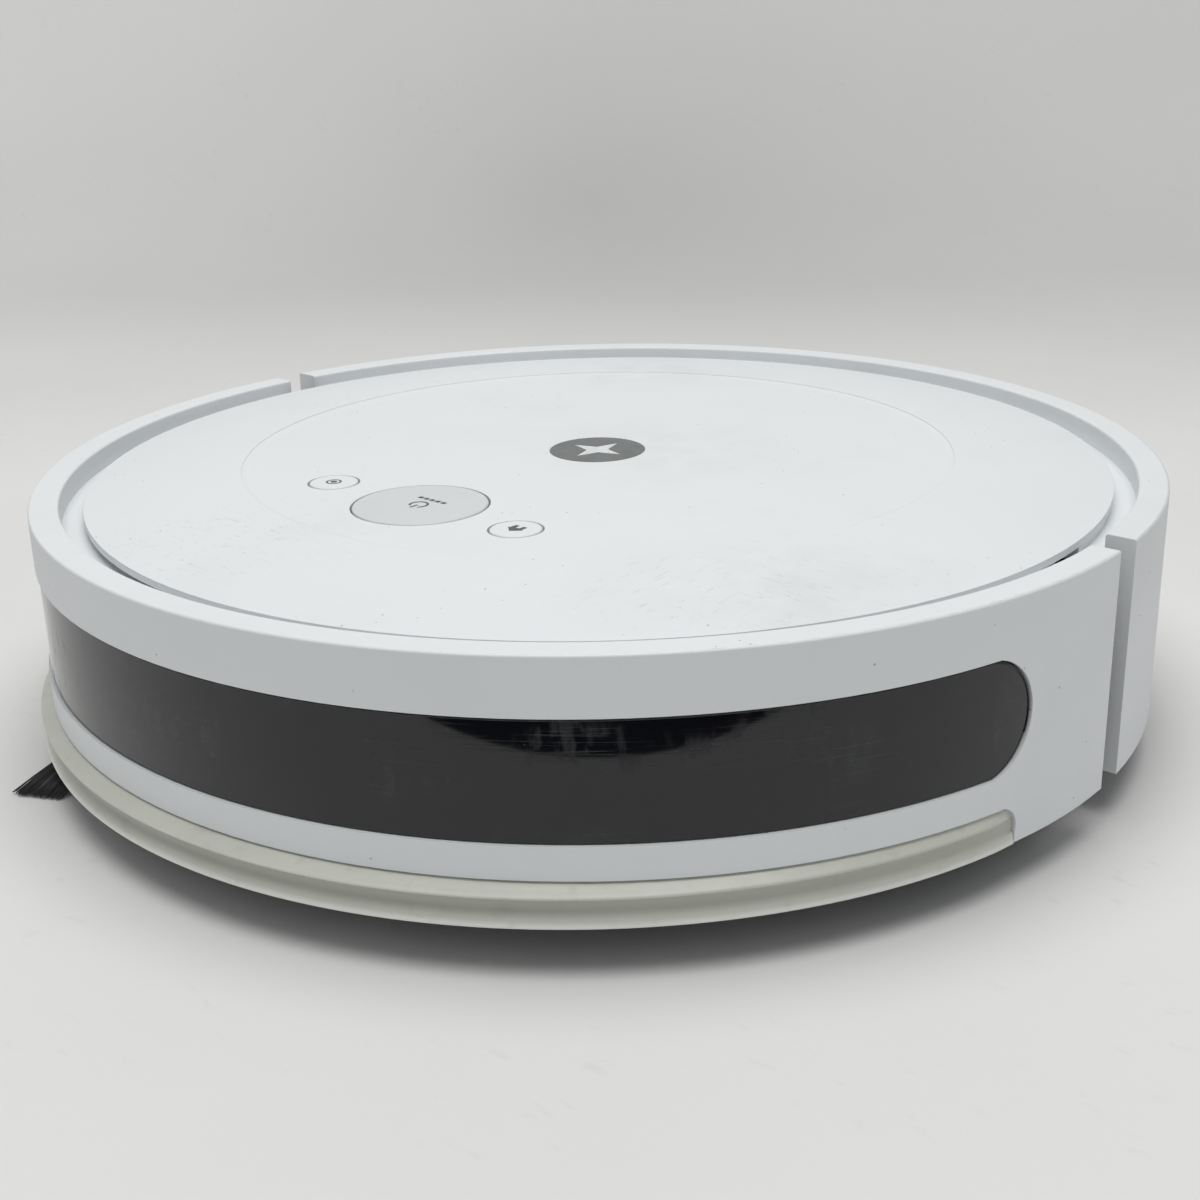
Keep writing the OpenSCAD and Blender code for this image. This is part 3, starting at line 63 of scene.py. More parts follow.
class Shader:
    """One material: a Principled shader with object-space patterns feeding its colour, roughness and bump."""

    def __init__(self, name, roughness, **sockets):
        self.material = bpy.data.materials.new(name)
        self.material.use_nodes = True
        self.tree = self.material.node_tree
        self.bsdf = self.tree.nodes["Principled BSDF"]
        self.bsdf.inputs["Roughness"].default_value = roughness
        for socket, value in sockets.items():
            self.bsdf.inputs[socket.replace("_", " ")].default_value = value
        self.place = self.add("ShaderNodeTexCoord").outputs["Object"]
        self.normal = None

    def add(self, kind, **settings):
        node = self.tree.nodes.new(kind)
        for key, value in settings.items():
            setattr(node, key, value)
        return node

    def feed(self, socket, value):
        if isinstance(value, bpy.types.NodeSocket):
            self.tree.links.new(value, socket)
        else:
            socket.default_value = value

    def stretched(self, scale):
        """The point's place, scaled by that much along each axis."""
        node = self.add("ShaderNodeMapping")
        self.feed(node.inputs["Vector"], self.place)
        node.inputs["Scale"].default_value = scale
        return node.outputs["Vector"]

    def noise(self, size, detail=3.0, stretch=(1, 1, 1), seed=0.0):
        """Soft patches about size metres across."""
        node = self.add("ShaderNodeTexNoise", noise_dimensions="4D")
        self.feed(node.inputs["Vector"], self.stretched(stretch))
        node.inputs["W"].default_value = seed
        node.inputs["Scale"].default_value = 1 / size
        node.inputs["Detail"].default_value = detail
        return node.outputs["Fac"]

    def along(self, direction):
        """How far the point lies along that direction, in metres."""
        node = self.add("ShaderNodeVectorMath", operation="DOT_PRODUCT")
        self.feed(node.inputs[0], self.place)
        node.inputs[1].default_value = direction
        return node.outputs["Value"]

    def cells(self, size, feature="F1"):
        """Distance from the middles or edges of cells, as a share of their size in metres."""
        node = self.add("ShaderNodeTexVoronoi", feature=feature)
        self.feed(node.inputs["Vector"], self.place)
        node.inputs["Scale"].default_value = 1 / size
        return node.outputs["Distance"]

    def ramp(self, value, low, high, to_low=0.0, to_high=1.0):
        """to_low where value is low, to_high where it is high, and straight in between."""
        node = self.add("ShaderNodeMapRange", clamp=True)
        self.feed(node.inputs["Value"], value)
        numbers = {"From Min": low, "From Max": high, "To Min": to_low, "To Max": to_high}
        for socket, number in numbers.items():
            node.inputs[socket].default_value = number
        return node.outputs["Result"]

    def math(self, operation, a, b=0.0):
        node = self.add("ShaderNodeMath", operation=operation)
        self.feed(node.inputs[0], a)
        self.feed(node.inputs[1], b)
        return node.outputs["Value"]

    def product(self, first, *rest):
        for factor in rest:
            first = self.math("MULTIPLY", first, factor)
        return first

    def mix(self, factor, a, b):
        node = self.add("ShaderNodeMix", data_type="RGBA")
        self.feed(node.inputs["Factor"], factor)
        self.feed(node.inputs["A"], a)
        self.feed(node.inputs["B"], b)
        return node.outputs["Result"]

    def near(self, centre, reach):
        """1 at centre, falling to 0 at reach metres away."""
        node = self.add("ShaderNodeVectorMath", operation="DISTANCE")
        self.feed(node.inputs[0], self.place)
        node.inputs[1].default_value = centre
        return self.ramp(node.outputs["Value"], 0.0, reach, 1.0, 0.0)

    def colour(self, value):
        self.feed(self.bsdf.inputs["Base Color"], value)

    def rough(self, value):
        self.feed(self.bsdf.inputs["Roughness"], value)

    def soften_edges(self, radius):
        """Rounds sharp edges in the shading, without moving the mesh."""
        node = self.add("ShaderNodeBevel", samples=BEVEL_SAMPLES)
        node.inputs["Radius"].default_value = radius
        self.normal = node.outputs["Normal"]
        self.feed(self.bsdf.inputs["Normal"], self.normal)
        return self

    def bump(self, height, depth, strength=1.0):
        node = self.add("ShaderNodeBump")
        node.inputs["Strength"].default_value = strength
        node.inputs["Distance"].default_value = depth
        self.feed(node.inputs["Height"], height)
        if self.normal:
            self.feed(node.inputs["Normal"], self.normal)
        self.normal = node.outputs["Normal"]
        self.feed(self.bsdf.inputs["Normal"], self.normal)
        return self

    def edge_wear(self):
        """1 along sharp edges and 0 on flat ground."""
        geometry = self.add("ShaderNodeNewGeometry")
        node = self.add("ShaderNodeVectorMath", operation="DOT_PRODUCT")
        bevel = self.add("ShaderNodeBevel", samples=BEVEL_SAMPLES)
        bevel.inputs["Radius"].default_value = WORN_EDGE
        self.feed(node.inputs[0], bevel.outputs["Normal"])
        self.feed(node.inputs[1], geometry.outputs["Normal"])
        return self.ramp(node.outputs["Value"], 0.97, 0.82)


def rgba(red, green, blue):
    return (red, green, blue, 1.0)


def scaled(colour, factor):
    return tuple(min(1.0, part * factor) for part in colour[:3]) + (1.0,)


# ---------- materials ----------

def mottled(shader, colour, spread, size):
    """Base colour with slow, faint patches and a finer grain of tone on top."""
    dark = scaled(colour, 1 - spread)
    patches = shader.ramp(shader.noise(size), 0.3, 0.7)
    grain = shader.ramp(shader.noise(FINE_GRAIN, 2.0), 0.3, 0.7, 0.0, 0.5)
    return shader.mix(grain, shader.mix(patches, dark, scaled(colour, 1 + spread)), dark)


def white_plastic(name, colour, roughness, dirty_spots=(), scratched_spots=()):
    """Satin white moulding: spark-eroded grain, faint grey smudges, specks of dirt and fine scratches."""
    shader = Shader(name, roughness, IOR=1.5)
    base = mottled(shader, colour, 0.012, 0.09)
    smudge = shader.ramp(shader.noise(0.035, 4.0, seed=4.0), 0.54, 0.72, 0.0, 0.20)
    base = shader.mix(smudge, base, scaled(colour, 0.86))
    speck = shader.ramp(shader.cells(5.5 * MM), 0.068, 0.040)
    chosen = shader.ramp(shader.noise(0.021, 2.0, seed=9.0), 0.51, 0.56)
    base = shader.mix(shader.product(speck, chosen, 0.65), base, rgba(0.20, 0.19, 0.18))
    for centre, reach, depth in dirty_spots:
        cloud = shader.ramp(shader.noise(0.012, 5.0, seed=2.0), 0.35, 0.65)
        stain = shader.product(shader.near(centre, reach), cloud, depth)
        base = shader.mix(stain, base, scaled(colour, 0.62))
    for centre, reach, stretch in scratched_spots:
        lines = shader.ramp(shader.noise(0.8 * MM, 2.0, stretch, 5.0), 0.63, 0.68)
        scratch = shader.product(shader.near(centre, reach), lines, 0.6)
        base = shader.mix(scratch, base, scaled(colour, 0.60))
    base = shader.mix(shader.math("MULTIPLY", shader.edge_wear(), 0.35), base, scaled(colour, 1.05))
    shader.colour(base)
    shader.rough(shader.ramp(shader.noise(0.02, 3.0, seed=3.0), 0.3, 0.7, roughness - 0.05, roughness + 0.06))
    shader.soften_edges(0.22 * MM)
    shader.bump(shader.noise(0.35 * MM, 2.0), 0.02 * MM, 0.5)
    return shader.material


def dark_plastic(name, colour, roughness, grain=0.5 * MM, depth=0.03 * MM):
    """Textured moulding with worn, slightly paler edges and a film of dust."""
    shader = Shader(name, roughness, IOR=1.49)
    base = mottled(shader, colour, 0.10, 0.03)
    base = shader.mix(shader.math("MULTIPLY", shader.edge_wear(), 0.5), base, scaled(colour, 1.9))
    dust = shader.ramp(shader.noise(0.012, 6.0, seed=7.0), 0.55, 0.85, 0.0, 0.16)
    shader.colour(shader.mix(dust, base, rgba(0.30, 0.29, 0.27)))
    shader.rough(shader.ramp(shader.noise(0.01, 4.0), 0.3, 0.7, roughness - 0.07, roughness + 0.1))
    shader.soften_edges(0.35 * MM)
    shader.bump(shader.noise(grain, 3.0), depth, 0.7)
    return shader.material


def smoked_window(name):
    """Gloss, nearly black plastic with fine scratches along the bumper, dull smears and dust."""
    shader = Shader(name, 0.05, IOR=1.52, Coat_Weight=0.05, Coat_Roughness=0.03, Coat_IOR=1.5)
    base = mottled(shader, rgba(0.0040, 0.0045, 0.0065), 0.12, 0.02)
    scratch = shader.ramp(shader.noise(1.0 * MM, 3.0, (0.05, 0.05, 2.6), 1.0), 0.57, 0.66)
    where = shader.ramp(shader.noise(0.022, 3.0, (0.6, 0.6, 1.0), 5.0), 0.44, 0.56)
    marks = shader.product(scratch, where)
    smear = shader.product(shader.ramp(shader.noise(3.5 * MM, 5.0, (1, 1, 0.4), 6.0), 0.52, 0.66), where)
    dust = shader.ramp(shader.cells(2.6 * MM), 0.06, 0.03)
    dust = shader.product(dust, shader.ramp(shader.noise(8 * MM, 2.0, seed=8.0), 0.55, 0.60))
    base = shader.mix(shader.product(marks, 0.40), base, rgba(0.050, 0.054, 0.066))
    base = shader.mix(shader.product(smear, 0.16), base, rgba(0.085, 0.088, 0.095))
    shader.colour(shader.mix(shader.product(dust, 0.35), base, rgba(0.30, 0.30, 0.29)))
    dull = shader.math("ADD", shader.product(marks, 0.16), shader.product(smear, 0.22))
    shader.rough(shader.math("ADD", dull, 0.045))
    shader.soften_edges(0.3 * MM)
    shader.bump(scratch, 0.004 * MM, 0.25)
    return shader.material


def soft_strip(name):
    """Translucent grey-green rubber with a satin skin, painted shade in its groove, a painted highlight along its
    lip, patches of grime and faint drag marks.
    """
    colour = rgba(0.63, 0.64, 0.57)
    shader = Shader(
        name, 0.36, IOR=1.42, Subsurface_Weight=0.15, Subsurface_Scale=0.003,
        Subsurface_Radius=(1.0, 0.9, 0.6), Coat_Weight=0.15, Coat_Roughness=0.25,
    )
    base = mottled(shader, colour, 0.05, 0.03)
    height = shader.along((0, 0, 1))
    # Painted shade: the band between the lip and the ridge, where the groove faces down, is darkened by its
    # height.
    above_lip = shader.ramp(height, 15.4 * MM, 17.2 * MM)
    below_ridge = shader.ramp(height, 20.9 * MM, 20.2 * MM)
    painted_groove_shade = shader.product(above_lip, below_ridge)
    base = shader.mix(shader.product(painted_groove_shade, 0.50), base, rgba(0.34, 0.345, 0.28))
    # Painted highlight: the lowest band of the lip is lightened by its height.
    painted_lip_highlight = shader.ramp(height, 15.0 * MM, 13.9 * MM)
    base = shader.mix(shader.product(painted_lip_highlight, 0.80), base, rgba(0.84, 0.85, 0.81))
    marks = shader.ramp(shader.noise(1.4 * MM, 4.0, (0.12, 0.12, 1.6), 2.0), 0.60, 0.78)
    base = shader.mix(shader.product(marks, 0.25), base, scaled(colour, 0.70))
    grime = shader.ramp(shader.noise(5 * MM, 5.0, seed=3.0), 0.56, 0.80, 0.0, 0.35)
    shader.colour(shader.mix(grime, base, rgba(0.36, 0.35, 0.29)))
    shader.rough(shader.ramp(shader.noise(4 * MM, 4.0), 0.3, 0.7, 0.30, 0.46))
    shader.bump(shader.noise(0.6 * MM, 3.0, (0.4, 0.4, 1.0)), 0.03 * MM, 0.5)
    return shader.material


def rubber(name, colour, roughness):
    """Matt rubber, paler along worn edges, with a film of dust."""
    shader = Shader(name, roughness, IOR=1.5, Sheen_Weight=0.12, Sheen_Roughness=0.5)
    base = mottled(shader, colour, 0.12, 0.015)
    dust = shader.ramp(shader.noise(6 * MM, 6.0, seed=1.0), 0.50, 0.80, 0.0, 0.30)
    base = shader.mix(dust, base, rgba(0.24, 0.23, 0.21))
    shader.colour(shader.mix(shader.math("MULTIPLY", shader.edge_wear(), 0.5), base, scaled(colour, 2.4)))
    shader.rough(shader.ramp(shader.noise(3 * MM, 4.0), 0.3, 0.7, roughness - 0.08, roughness + 0.12))
    shader.soften_edges(0.3 * MM)
    shader.bump(shader.noise(0.7 * MM, 4.0), 0.05 * MM, 0.7)
    return shader.material


def metal(name, colour, roughness):
    """Turned or plated metal: fine grain drawn out one way, tarnish in patches."""
    shader = Shader(name, roughness, Metallic=1.0, Anisotropic=0.3)
    base = mottled(shader, colour, 0.08, 0.01)
    tarnish = shader.ramp(shader.noise(7 * MM, 5.0, seed=2.0), 0.50, 0.80, 0.0, 0.45)
    shader.colour(shader.mix(tarnish, base, scaled(colour, 0.55)))
    grain = shader.noise(0.35 * MM, 3.0, (1, 1, 8))
    shader.rough(shader.ramp(grain, 0.3, 0.7, roughness - 0.06, roughness + 0.14))
    shader.soften_edges(0.25 * MM)
    shader.bump(grain, 0.008 * MM, 0.6)
    return shader.material


def circuit_board(name):
    """Green solder mask over copper tracks, with pale pads where the tracks end."""
    shader = Shader(name, 0.28, IOR=1.52, Coat_Weight=0.4, Coat_Roughness=0.15)
    tracks = shader.ramp(shader.cells(3.2 * MM, "DISTANCE_TO_EDGE"), 0.05, 0.09)
    base = shader.mix(tracks, rgba(0.035, 0.20, 0.085), rgba(0.012, 0.095, 0.042))
    pads = shader.ramp(shader.cells(3.2 * MM), 0.16, 0.13)
    chosen = shader.ramp(shader.noise(6 * MM, 1.0, seed=5.0), 0.50, 0.54)
    spots = shader.math("MULTIPLY", pads, chosen)
    shader.colour(shader.mix(spots, base, rgba(0.62, 0.60, 0.50)))
    shader.rough(shader.ramp(shader.noise(2 * MM, 2.0), 0.3, 0.7, 0.22, 0.36))
    shader.soften_edges(0.15 * MM)
    shader.bump(tracks, 0.03 * MM, 0.5)
    return shader.material


def bristle(name, colour, tip):
    """Nylon bristle with blotches of the paler colour of its worn tip."""
    shader = Shader(name, 0.38, IOR=1.53, Sheen_Weight=0.1)
    streak = shader.ramp(shader.noise(0.8 * MM, 3.0, seed=1.0), 0.3, 0.7)
    shader.colour(shader.mix(streak, colour, tip))
    shader.rough(shader.ramp(shader.noise(0.5 * MM, 2.0), 0.3, 0.7, 0.30, 0.50))
    shader.bump(shader.noise(0.3 * MM, 2.0), 0.01 * MM, 0.5)
    return shader.material


def filter_paper(name):
    """Pale paper with fibres and grey dust."""
    shader = Shader(name, 0.85, Sheen_Weight=0.25)
    fibres = shader.noise(0.5 * MM, 5.0, (1, 1, 0.25))
    base = shader.mix(shader.ramp(fibres, 0.3, 0.7), rgba(0.80, 0.79, 0.72), rgba(0.66, 0.65, 0.58))
    dust = shader.ramp(shader.noise(6 * MM, 5.0, seed=2.0), 0.50, 0.80, 0.0, 0.5)
    shader.colour(shader.mix(dust, base, rgba(0.40, 0.38, 0.34)))
    shader.rough(shader.ramp(fibres, 0.3, 0.7, 0.78, 0.92))
    shader.bump(fibres, 0.08 * MM, 0.8)
    return shader.material


def printed(name, colour):
    """Pad-printed ink: slightly uneven, a little glossier than the plastic under it."""
    shader = Shader(name, 0.40, IOR=1.5)
    shader.colour(mottled(shader, colour, 0.10, 2 * MM))
    shader.rough(shader.ramp(shader.noise(1 * MM, 2.0), 0.3, 0.7, 0.34, 0.48))
    shader.bump(shader.noise(0.2 * MM, 2.0), 0.005 * MM, 0.4)
    return shader.material


def backdrop_card(name, back):
    """Pale, matt card with faint scuffs, with painted shade that darkens it in the direction back and a patch of
    painted shade low on the backdrop behind the object.
    """
    shader = Shader(name, 0.75, IOR=1.4)
    patches = shader.ramp(shader.noise(0.25, 3.0), 0.3, 0.7)
    tone = shader.mix(patches, rgba(0.785, 0.78, 0.77), rgba(0.815, 0.811, 0.802))
    scuff = shader.ramp(shader.noise(0.012, 5.0, (1, 2.5, 1), 3.0), 0.60, 0.70)
    rare = shader.ramp(shader.noise(0.08, 2.0, seed=6.0), 0.50, 0.62)
    tone = shader.mix(shader.product(scuff, rare, 0.22), tone, rgba(0.55, 0.54, 0.52))
    # Painted shade: the card darkens along the direction back, where the light falls off.
    tone = shader.mix(shader.ramp(shader.along(back), 0.20, 0.80, 0.0, 0.10), tone, rgba(0.38, 0.375, 0.365))
    # Painted shade: a soft dark patch low on the backdrop behind the object.
    painted_wall_shade = shader.near(back * 0.95 + Vector((0, 0, 0.04)), 0.75)
    shader.colour(shader.mix(shader.product(painted_wall_shade, 0.62), tone, rgba(0.30, 0.297, 0.29)))
    shader.rough(shader.ramp(shader.noise(0.03, 3.0), 0.3, 0.7, 0.68, 0.82))
    shader.bump(shader.noise(1.2 * MM, 4.0), 0.03 * MM, 0.4)
    return shader.material


WHITE = rgba(0.800, 0.822, 0.835)
# middle, reach, and how the scratches are drawn out along x, y and z
COVER_SCRATCHES = [
    (Vector((0.122, -0.060, 0.079)), 0.045, (0.10, 1.6, 1.0)),
    (Vector((0.095, -0.085, 0.079)), 0.035, (1.3, 0.12, 1.0)),
    (Vector((-0.020, -0.128, 0.079)), 0.050, (0.15, 1.5, 1.0)),
]
# middle, reach and strength
COVER_DIRT = [
    (Vector((0.020, 0.012, 0.081)), 0.050, 0.20),
    (Vector((-0.062, 0.098, 0.081)), 0.040, 0.25),
    (Vector((0.118, -0.062, 0.080)), 0.045, 0.22),
]


def make_finishes():
    """One Blender material for each of the record's material slots."""
    return {
        "white_body": white_plastic("white_body", WHITE, 0.42),
        "white_cover": white_plastic("white_cover", WHITE, 0.46, COVER_DIRT, COVER_SCRATCHES),
        "white_small_button": white_plastic("white_small_button", WHITE, 0.38),
        "grey_button": white_plastic("grey_button", rgba(0.66, 0.69, 0.70), 0.22),
        "badge_grey": dark_plastic("badge_grey", rgba(0.115, 0.125, 0.125), 0.30, 0.4 * MM, 0.01 * MM),
        "smoked_window": smoked_window("smoked_window"),
        "soft_strip": soft_strip("soft_strip"),
        "base_plastic": dark_plastic("base_plastic", rgba(0.030, 0.031, 0.033), 0.50),
        "module_plastic": dark_plastic("module_plastic", rgba(0.055, 0.057, 0.060), 0.55),
        "brush_frame_plastic": dark_plastic("brush_frame_plastic", rgba(0.085, 0.088, 0.092), 0.50),
        "dark_small": dark_plastic("dark_small", rgba(0.015, 0.015, 0.018), 0.20, 0.3 * MM, 0.008 * MM),
        "steel": metal("steel", rgba(0.60, 0.61, 0.62), 0.30),
        "contact_metal": metal("contact_metal", rgba(0.76, 0.74, 0.68), 0.22),
        "tyre": rubber("tyre", rgba(0.022, 0.022, 0.023), 0.70),
        "wheel_plastic": dark_plastic("wheel_plastic", rgba(0.10, 0.10, 0.105), 0.48),
        "brush_rubber": rubber("brush_rubber", rgba(0.035, 0.036, 0.039), 0.55),
        "black_bristle": bristle("black_bristle", rgba(0.010, 0.010, 0.011), rgba(0.035, 0.035, 0.036)),
        "grey_bristle": bristle("grey_bristle", rgba(0.36, 0.36, 0.34), rgba(0.55, 0.54, 0.50)),
        "brush_core_plastic": dark_plastic("brush_core_plastic", rgba(0.10, 0.105, 0.11), 0.45),
        "gear_plastic": dark_plastic("gear_plastic", rgba(0.66, 0.62, 0.52), 0.40, 0.5 * MM, 0.01 * MM),
        "pinion_brass": metal("pinion_brass", rgba(0.78, 0.58, 0.27), 0.26),
        "circuit_board": circuit_board("circuit_board"),
        "battery_wrap": dark_plastic("battery_wrap", rgba(0.030, 0.030, 0.034), 0.42, 0.8 * MM, 0.02 * MM),
        "cell_metal": dark_plastic("cell_metal", rgba(0.05, 0.16, 0.26), 0.28, 0.6 * MM, 0.01 * MM),
        "wire_red": rubber("wire_red", rgba(0.34, 0.035, 0.028), 0.45),
        "bin_lid_plastic": white_plastic("bin_lid_plastic", rgba(0.40, 0.41, 0.42), 0.30),
        "filter_paper": filter_paper("filter_paper"),
        "latch_grey": dark_plastic("latch_grey", rgba(0.16, 0.165, 0.175), 0.40),
        "impeller_plastic": white_plastic("impeller_plastic", rgba(0.42, 0.44, 0.46), 0.38),
    }


def finish_cad_nodes(finishes):
    for part in RECORD["subparts"]:
        mesh = frame["nodes"][part["node"]].data
        mesh.materials.clear()
        mesh.materials.append(finishes[part["material_slot"]])


# ---------- mesh building ----------

def add_piece(name, points, faces, material, body, slot, smooth=True):
    """A visual piece that rides on that body. Its slot argument is not used."""
    mesh = bpy.data.meshes.new(name)
    mesh.from_pydata([tuple(point) for point in points], [], faces)
    mesh.validate()
    mesh.materials.append(material)
    if smooth:
        mesh.polygons.foreach_set("use_smooth", [True] * len(mesh.polygons))
    piece = bpy.data.objects.new(name, mesh)
    bpy.context.scene.collection.objects.link(piece)
    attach(piece, body)
    return piece


def ring_faces(rings, sides):
    """Faces of a tube made of equal rings of points, closed at both ends."""
    faces = []
    for i in range(rings - 1):
        for j in range(sides):
            k = (j + 1) % sides
            faces.append((i * sides + j, i * sides + k, (i + 1) * sides + k, (i + 1) * sides + j))
    faces.append(tuple(reversed(range(sides))))
    faces.append(tuple((rings - 1) * sides + j for j in range(sides)))
    return faces


def slab(outline, low, high):
    """Points and faces of a flat plate with that outline, going anticlockwise."""
    points = [(x, y, low) for x, y in outline] + [(x, y, high) for x, y in outline]
    return points, ring_faces(2, len(outline))


def join(parts):
    """Points and faces of several parts as one."""
    points, faces = [], []
    for more_points, more_faces in parts:
        base = len(points)
        points.extend(more_points)
        faces.extend(tuple(base + i for i in face) for face in more_faces)
    return points, faces


def on_circle(centre, radius, degrees):
    angle = math.radians(degrees)
    return (centre[0] + radius * math.cos(angle), centre[1] + radius * math.sin(angle))


def arc_band(centre, outer, inner, start, stop, steps=40):
    """Outline of part of a ring, from start to stop degrees."""
    angles = [start + (stop - start) * i / steps for i in range(steps + 1)]
    outside = [on_circle(centre, outer, angle) for angle in angles]
    inside = [on_circle(centre, inner, angle) for angle in reversed(angles)]
    return outside + inside


# ---------- printed marks ----------

INK_SINK = 0.02 * MM
INK_RISE = 0.05 * MM

POWER_OUTER = 2.9 * MM
POWER_INNER = 2.2 * MM
POWER_GAP = 38  # degrees on each side of the ring's opening
POWER_AHEAD = 0.6 * MM  # how far the sign's middle lies in front of the button's
POWER_BAR = (0.7 * MM, 3.0 * MM)  # width and length
POWER_BAR_AHEAD = 1.9 * MM

DASHES = 5
DASH_STEP = 2.3 * MM
DASH_LENGTH = 1.6 * MM
DASH_INSET = 0.35 * MM
DASH_BACK = (3.9 * MM, 5.3 * MM)  # front and rear edge, behind the button's middle

SPOT_OUTER = 2.35 * MM
SPOT_INNER = 1.75 * MM
SPOT_DOT = 1.0 * MM
SPOT_STEPS = 28

SPARK_TIP = 0.322  # the spark's points and waist, as shares of the badge's width
SPARK_WAIST = 0.112
SPARK_SLAB = (0.19 * MM, 0.04 * MM)  # how far its bottom and top lie below the badge's top


def top_middle(node):
    """The middle of a node seen from above, and the height of its top."""
    low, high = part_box(node)
    return ((low.x + high.x) / 2, (low.y + high.y) / 2), high.z


def ink(name, outlines, top, material, body, slot):
    """Thin plates of ink with those outlines, on a surface at height top."""
    points, faces = join([slab(outline, top - INK_SINK, top + INK_RISE) for outline in outlines])
    return add_piece(name, points, faces, material, body, slot, smooth=False)


def rounded_bar(centre, width, length, steps=8):
    """Outline of a bar with round ends, along y."""
    x, y = centre
    half = length / 2 - width / 2
    turns = [180 * i / steps for i in range(steps + 1)]
    rear = [on_circle((x, y + half), width / 2, turn) for turn in turns]
    front = [on_circle((x, y - half), width / 2, 180 + turn) for turn in turns]
    return rear + front


def mark_clean_button(material):
    """The on-off sign, its top towards the front, with a row of plain dashes behind it."""
    (x, y), top = top_middle("clean_button")
    middle = y - POWER_AHEAD
    ring = arc_band((x, middle), POWER_OUTER, POWER_INNER, -90 + POWER_GAP, 270 - POWER_GAP)
    bar = rounded_bar((x, middle - POWER_BAR_AHEAD), *POWER_BAR)
    ink("power_sign", [ring, bar], top, material, "clean_key", "badge_grey")
    low, high = (y + back for back in DASH_BACK)
    dashes = []
    for i in range(DASHES):
        left = x + (i - DASHES / 2) * DASH_STEP + DASH_INSET
        right = left + DASH_LENGTH
        dashes.append([(left, low), (right, low), (right, high), (left, high)])
    ink("button_dashes", dashes, top, material, "clean_key", "badge_grey")


def mark_spot_button(material):
    """A plain ring round a dot."""
    centre, top = top_middle("spot_button")
    ring = arc_band(centre, SPOT_OUTER, SPOT_INNER, 0, 359.9, 60)
    dot = [on_circle(centre, SPOT_DOT, 360 * i / SPOT_STEPS) for i in range(SPOT_STEPS)]
    ink("spot_sign", [ring, dot], top, material, "spot_key", "badge_grey")


def mark_dock_button(material):
    """A plain house with a doorway, its roof towards the front."""
    (x, y), top = top_middle("dock_button")
    house = [
        (0, -2.6), (2.8, -0.1), (2.1, 0.0), (2.1, 2.3), (0.7, 2.3), (0.7, 0.6),
        (-0.7, 0.6), (-0.7, 2.3), (-2.1, 2.3), (-2.1, 0.0), (-2.8, -0.1),
    ]
    outline = [(x + u * MM, y + v * MM) for u, v in house]
    ink("dock_sign", [outline], top, material, "dock_key", "badge_grey")


def mark_badge(material):
    """A pale four-pointed spark that fills the recess in the badge."""
    (x, y), top = top_middle("badge")
    low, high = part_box("badge")
    width = high.x - low.x
    outline = [on_circle((x, y), width * (SPARK_WAIST if i % 2 else SPARK_TIP), 45 * i) for i in range(8)]
    points, faces = slab(outline, *(top - depth for depth in SPARK_SLAB))
    add_piece("badge_spark", points, faces, material, "root", "white_body", smooth=False)


# ---------- soft strip ----------
# The strip and the black bead of painted shade over the window are worked out in millimetres.

BODY_R = 170.0
STRIP_PROUD = 4.3  # how far the ridge stands out straight ahead
STRIP_END = 78.8  # half the angle that the strip covers, in degrees
STRIP_END_GAP = 0.35
STRIP_TOP = 24.1
STRIP_BOTTOM = 13.1
STRIP_CORNER = 6.0
STRIP_FADE = 8.0  # how far from an end the ridge begins to sink
STRIP_WAIST = 16.4  # height that parts the ridge above from the lip below
STRIP_SUNK = 1.0  # how far the strip's top edge lies inside the bumper's skin
STRIP_BACK = 1.3  # how far its hidden back lies inside the round body
RIDGE_INSET = 0.4  # how much smaller than the body the ridge's own circle is
STRIP_STEPS = 420
STRIP_CROWDING = 1.35  # above 1, the steps crowd towards both ends, where the corners are
# outside of the strip from its top edge down: share of the way out to the ridge, extra in mm, height in mm
STRIP_PROFILE = [
    (0.00, -0.40, 23.55), (0.00, -0.05, 23.72), (0.08, 0.00, 23.60), (0.30, 0.00, 23.20), (0.58, 0.00, 22.50),
    (0.84, 0.00, 21.90), (0.97, 0.00, 21.55), (1.00, 0.00, 21.20), (0.95, 0.00, 20.85), (0.78, 0.00, 20.40),
    (0.64, 0.00, 19.70), (0.57, 0.00, 18.80), (0.56, 0.00, 17.90), (0.60, 0.00, 17.00), (0.70, 0.00, 16.00),
    (0.84, 0.00, 15.00), (0.94, 0.00, 14.20), (0.98, 0.00, 13.70), (0.95, 0.00, 13.30), (0.78, 0.00, 13.12),
    (0.45, 0.00, 13.11),
]


def smooth_profile(profile, per_span=3):
    """Points of a Catmull-Rom curve through the profile's points."""
    last = len(profile) - 1
    out = []
    for i in range(last):
        nearby = [max(0, min(last, i + k)) for k in (-1, 0, 1, 2)]
        p0, p1, p2, p3 = (Vector(profile[k]) for k in nearby)
        slope = p2 - p0
        square = 2 * p0 - 5 * p1 + 4 * p2 - p3
        cube = 3 * p1 - p0 - 3 * p2 + p3
        for j in range(per_span):
            t = j / per_span
            out.append(0.5 * (2 * p1 + slope * t + square * t * t + cube * t * t * t))
    out.append(Vector(profile[last]))
    return out


def strip_reach(angle):
    """How far the ridge stands out from the round body at that angle off straight ahead."""
    shift = STRIP_PROUD + RIDGE_INSET
    crest = BODY_R + STRIP_PROUD - shift
    side = shift * math.sin(angle)
    return shift * math.cos(angle) + math.sqrt(crest * crest - side * side) - BODY_R


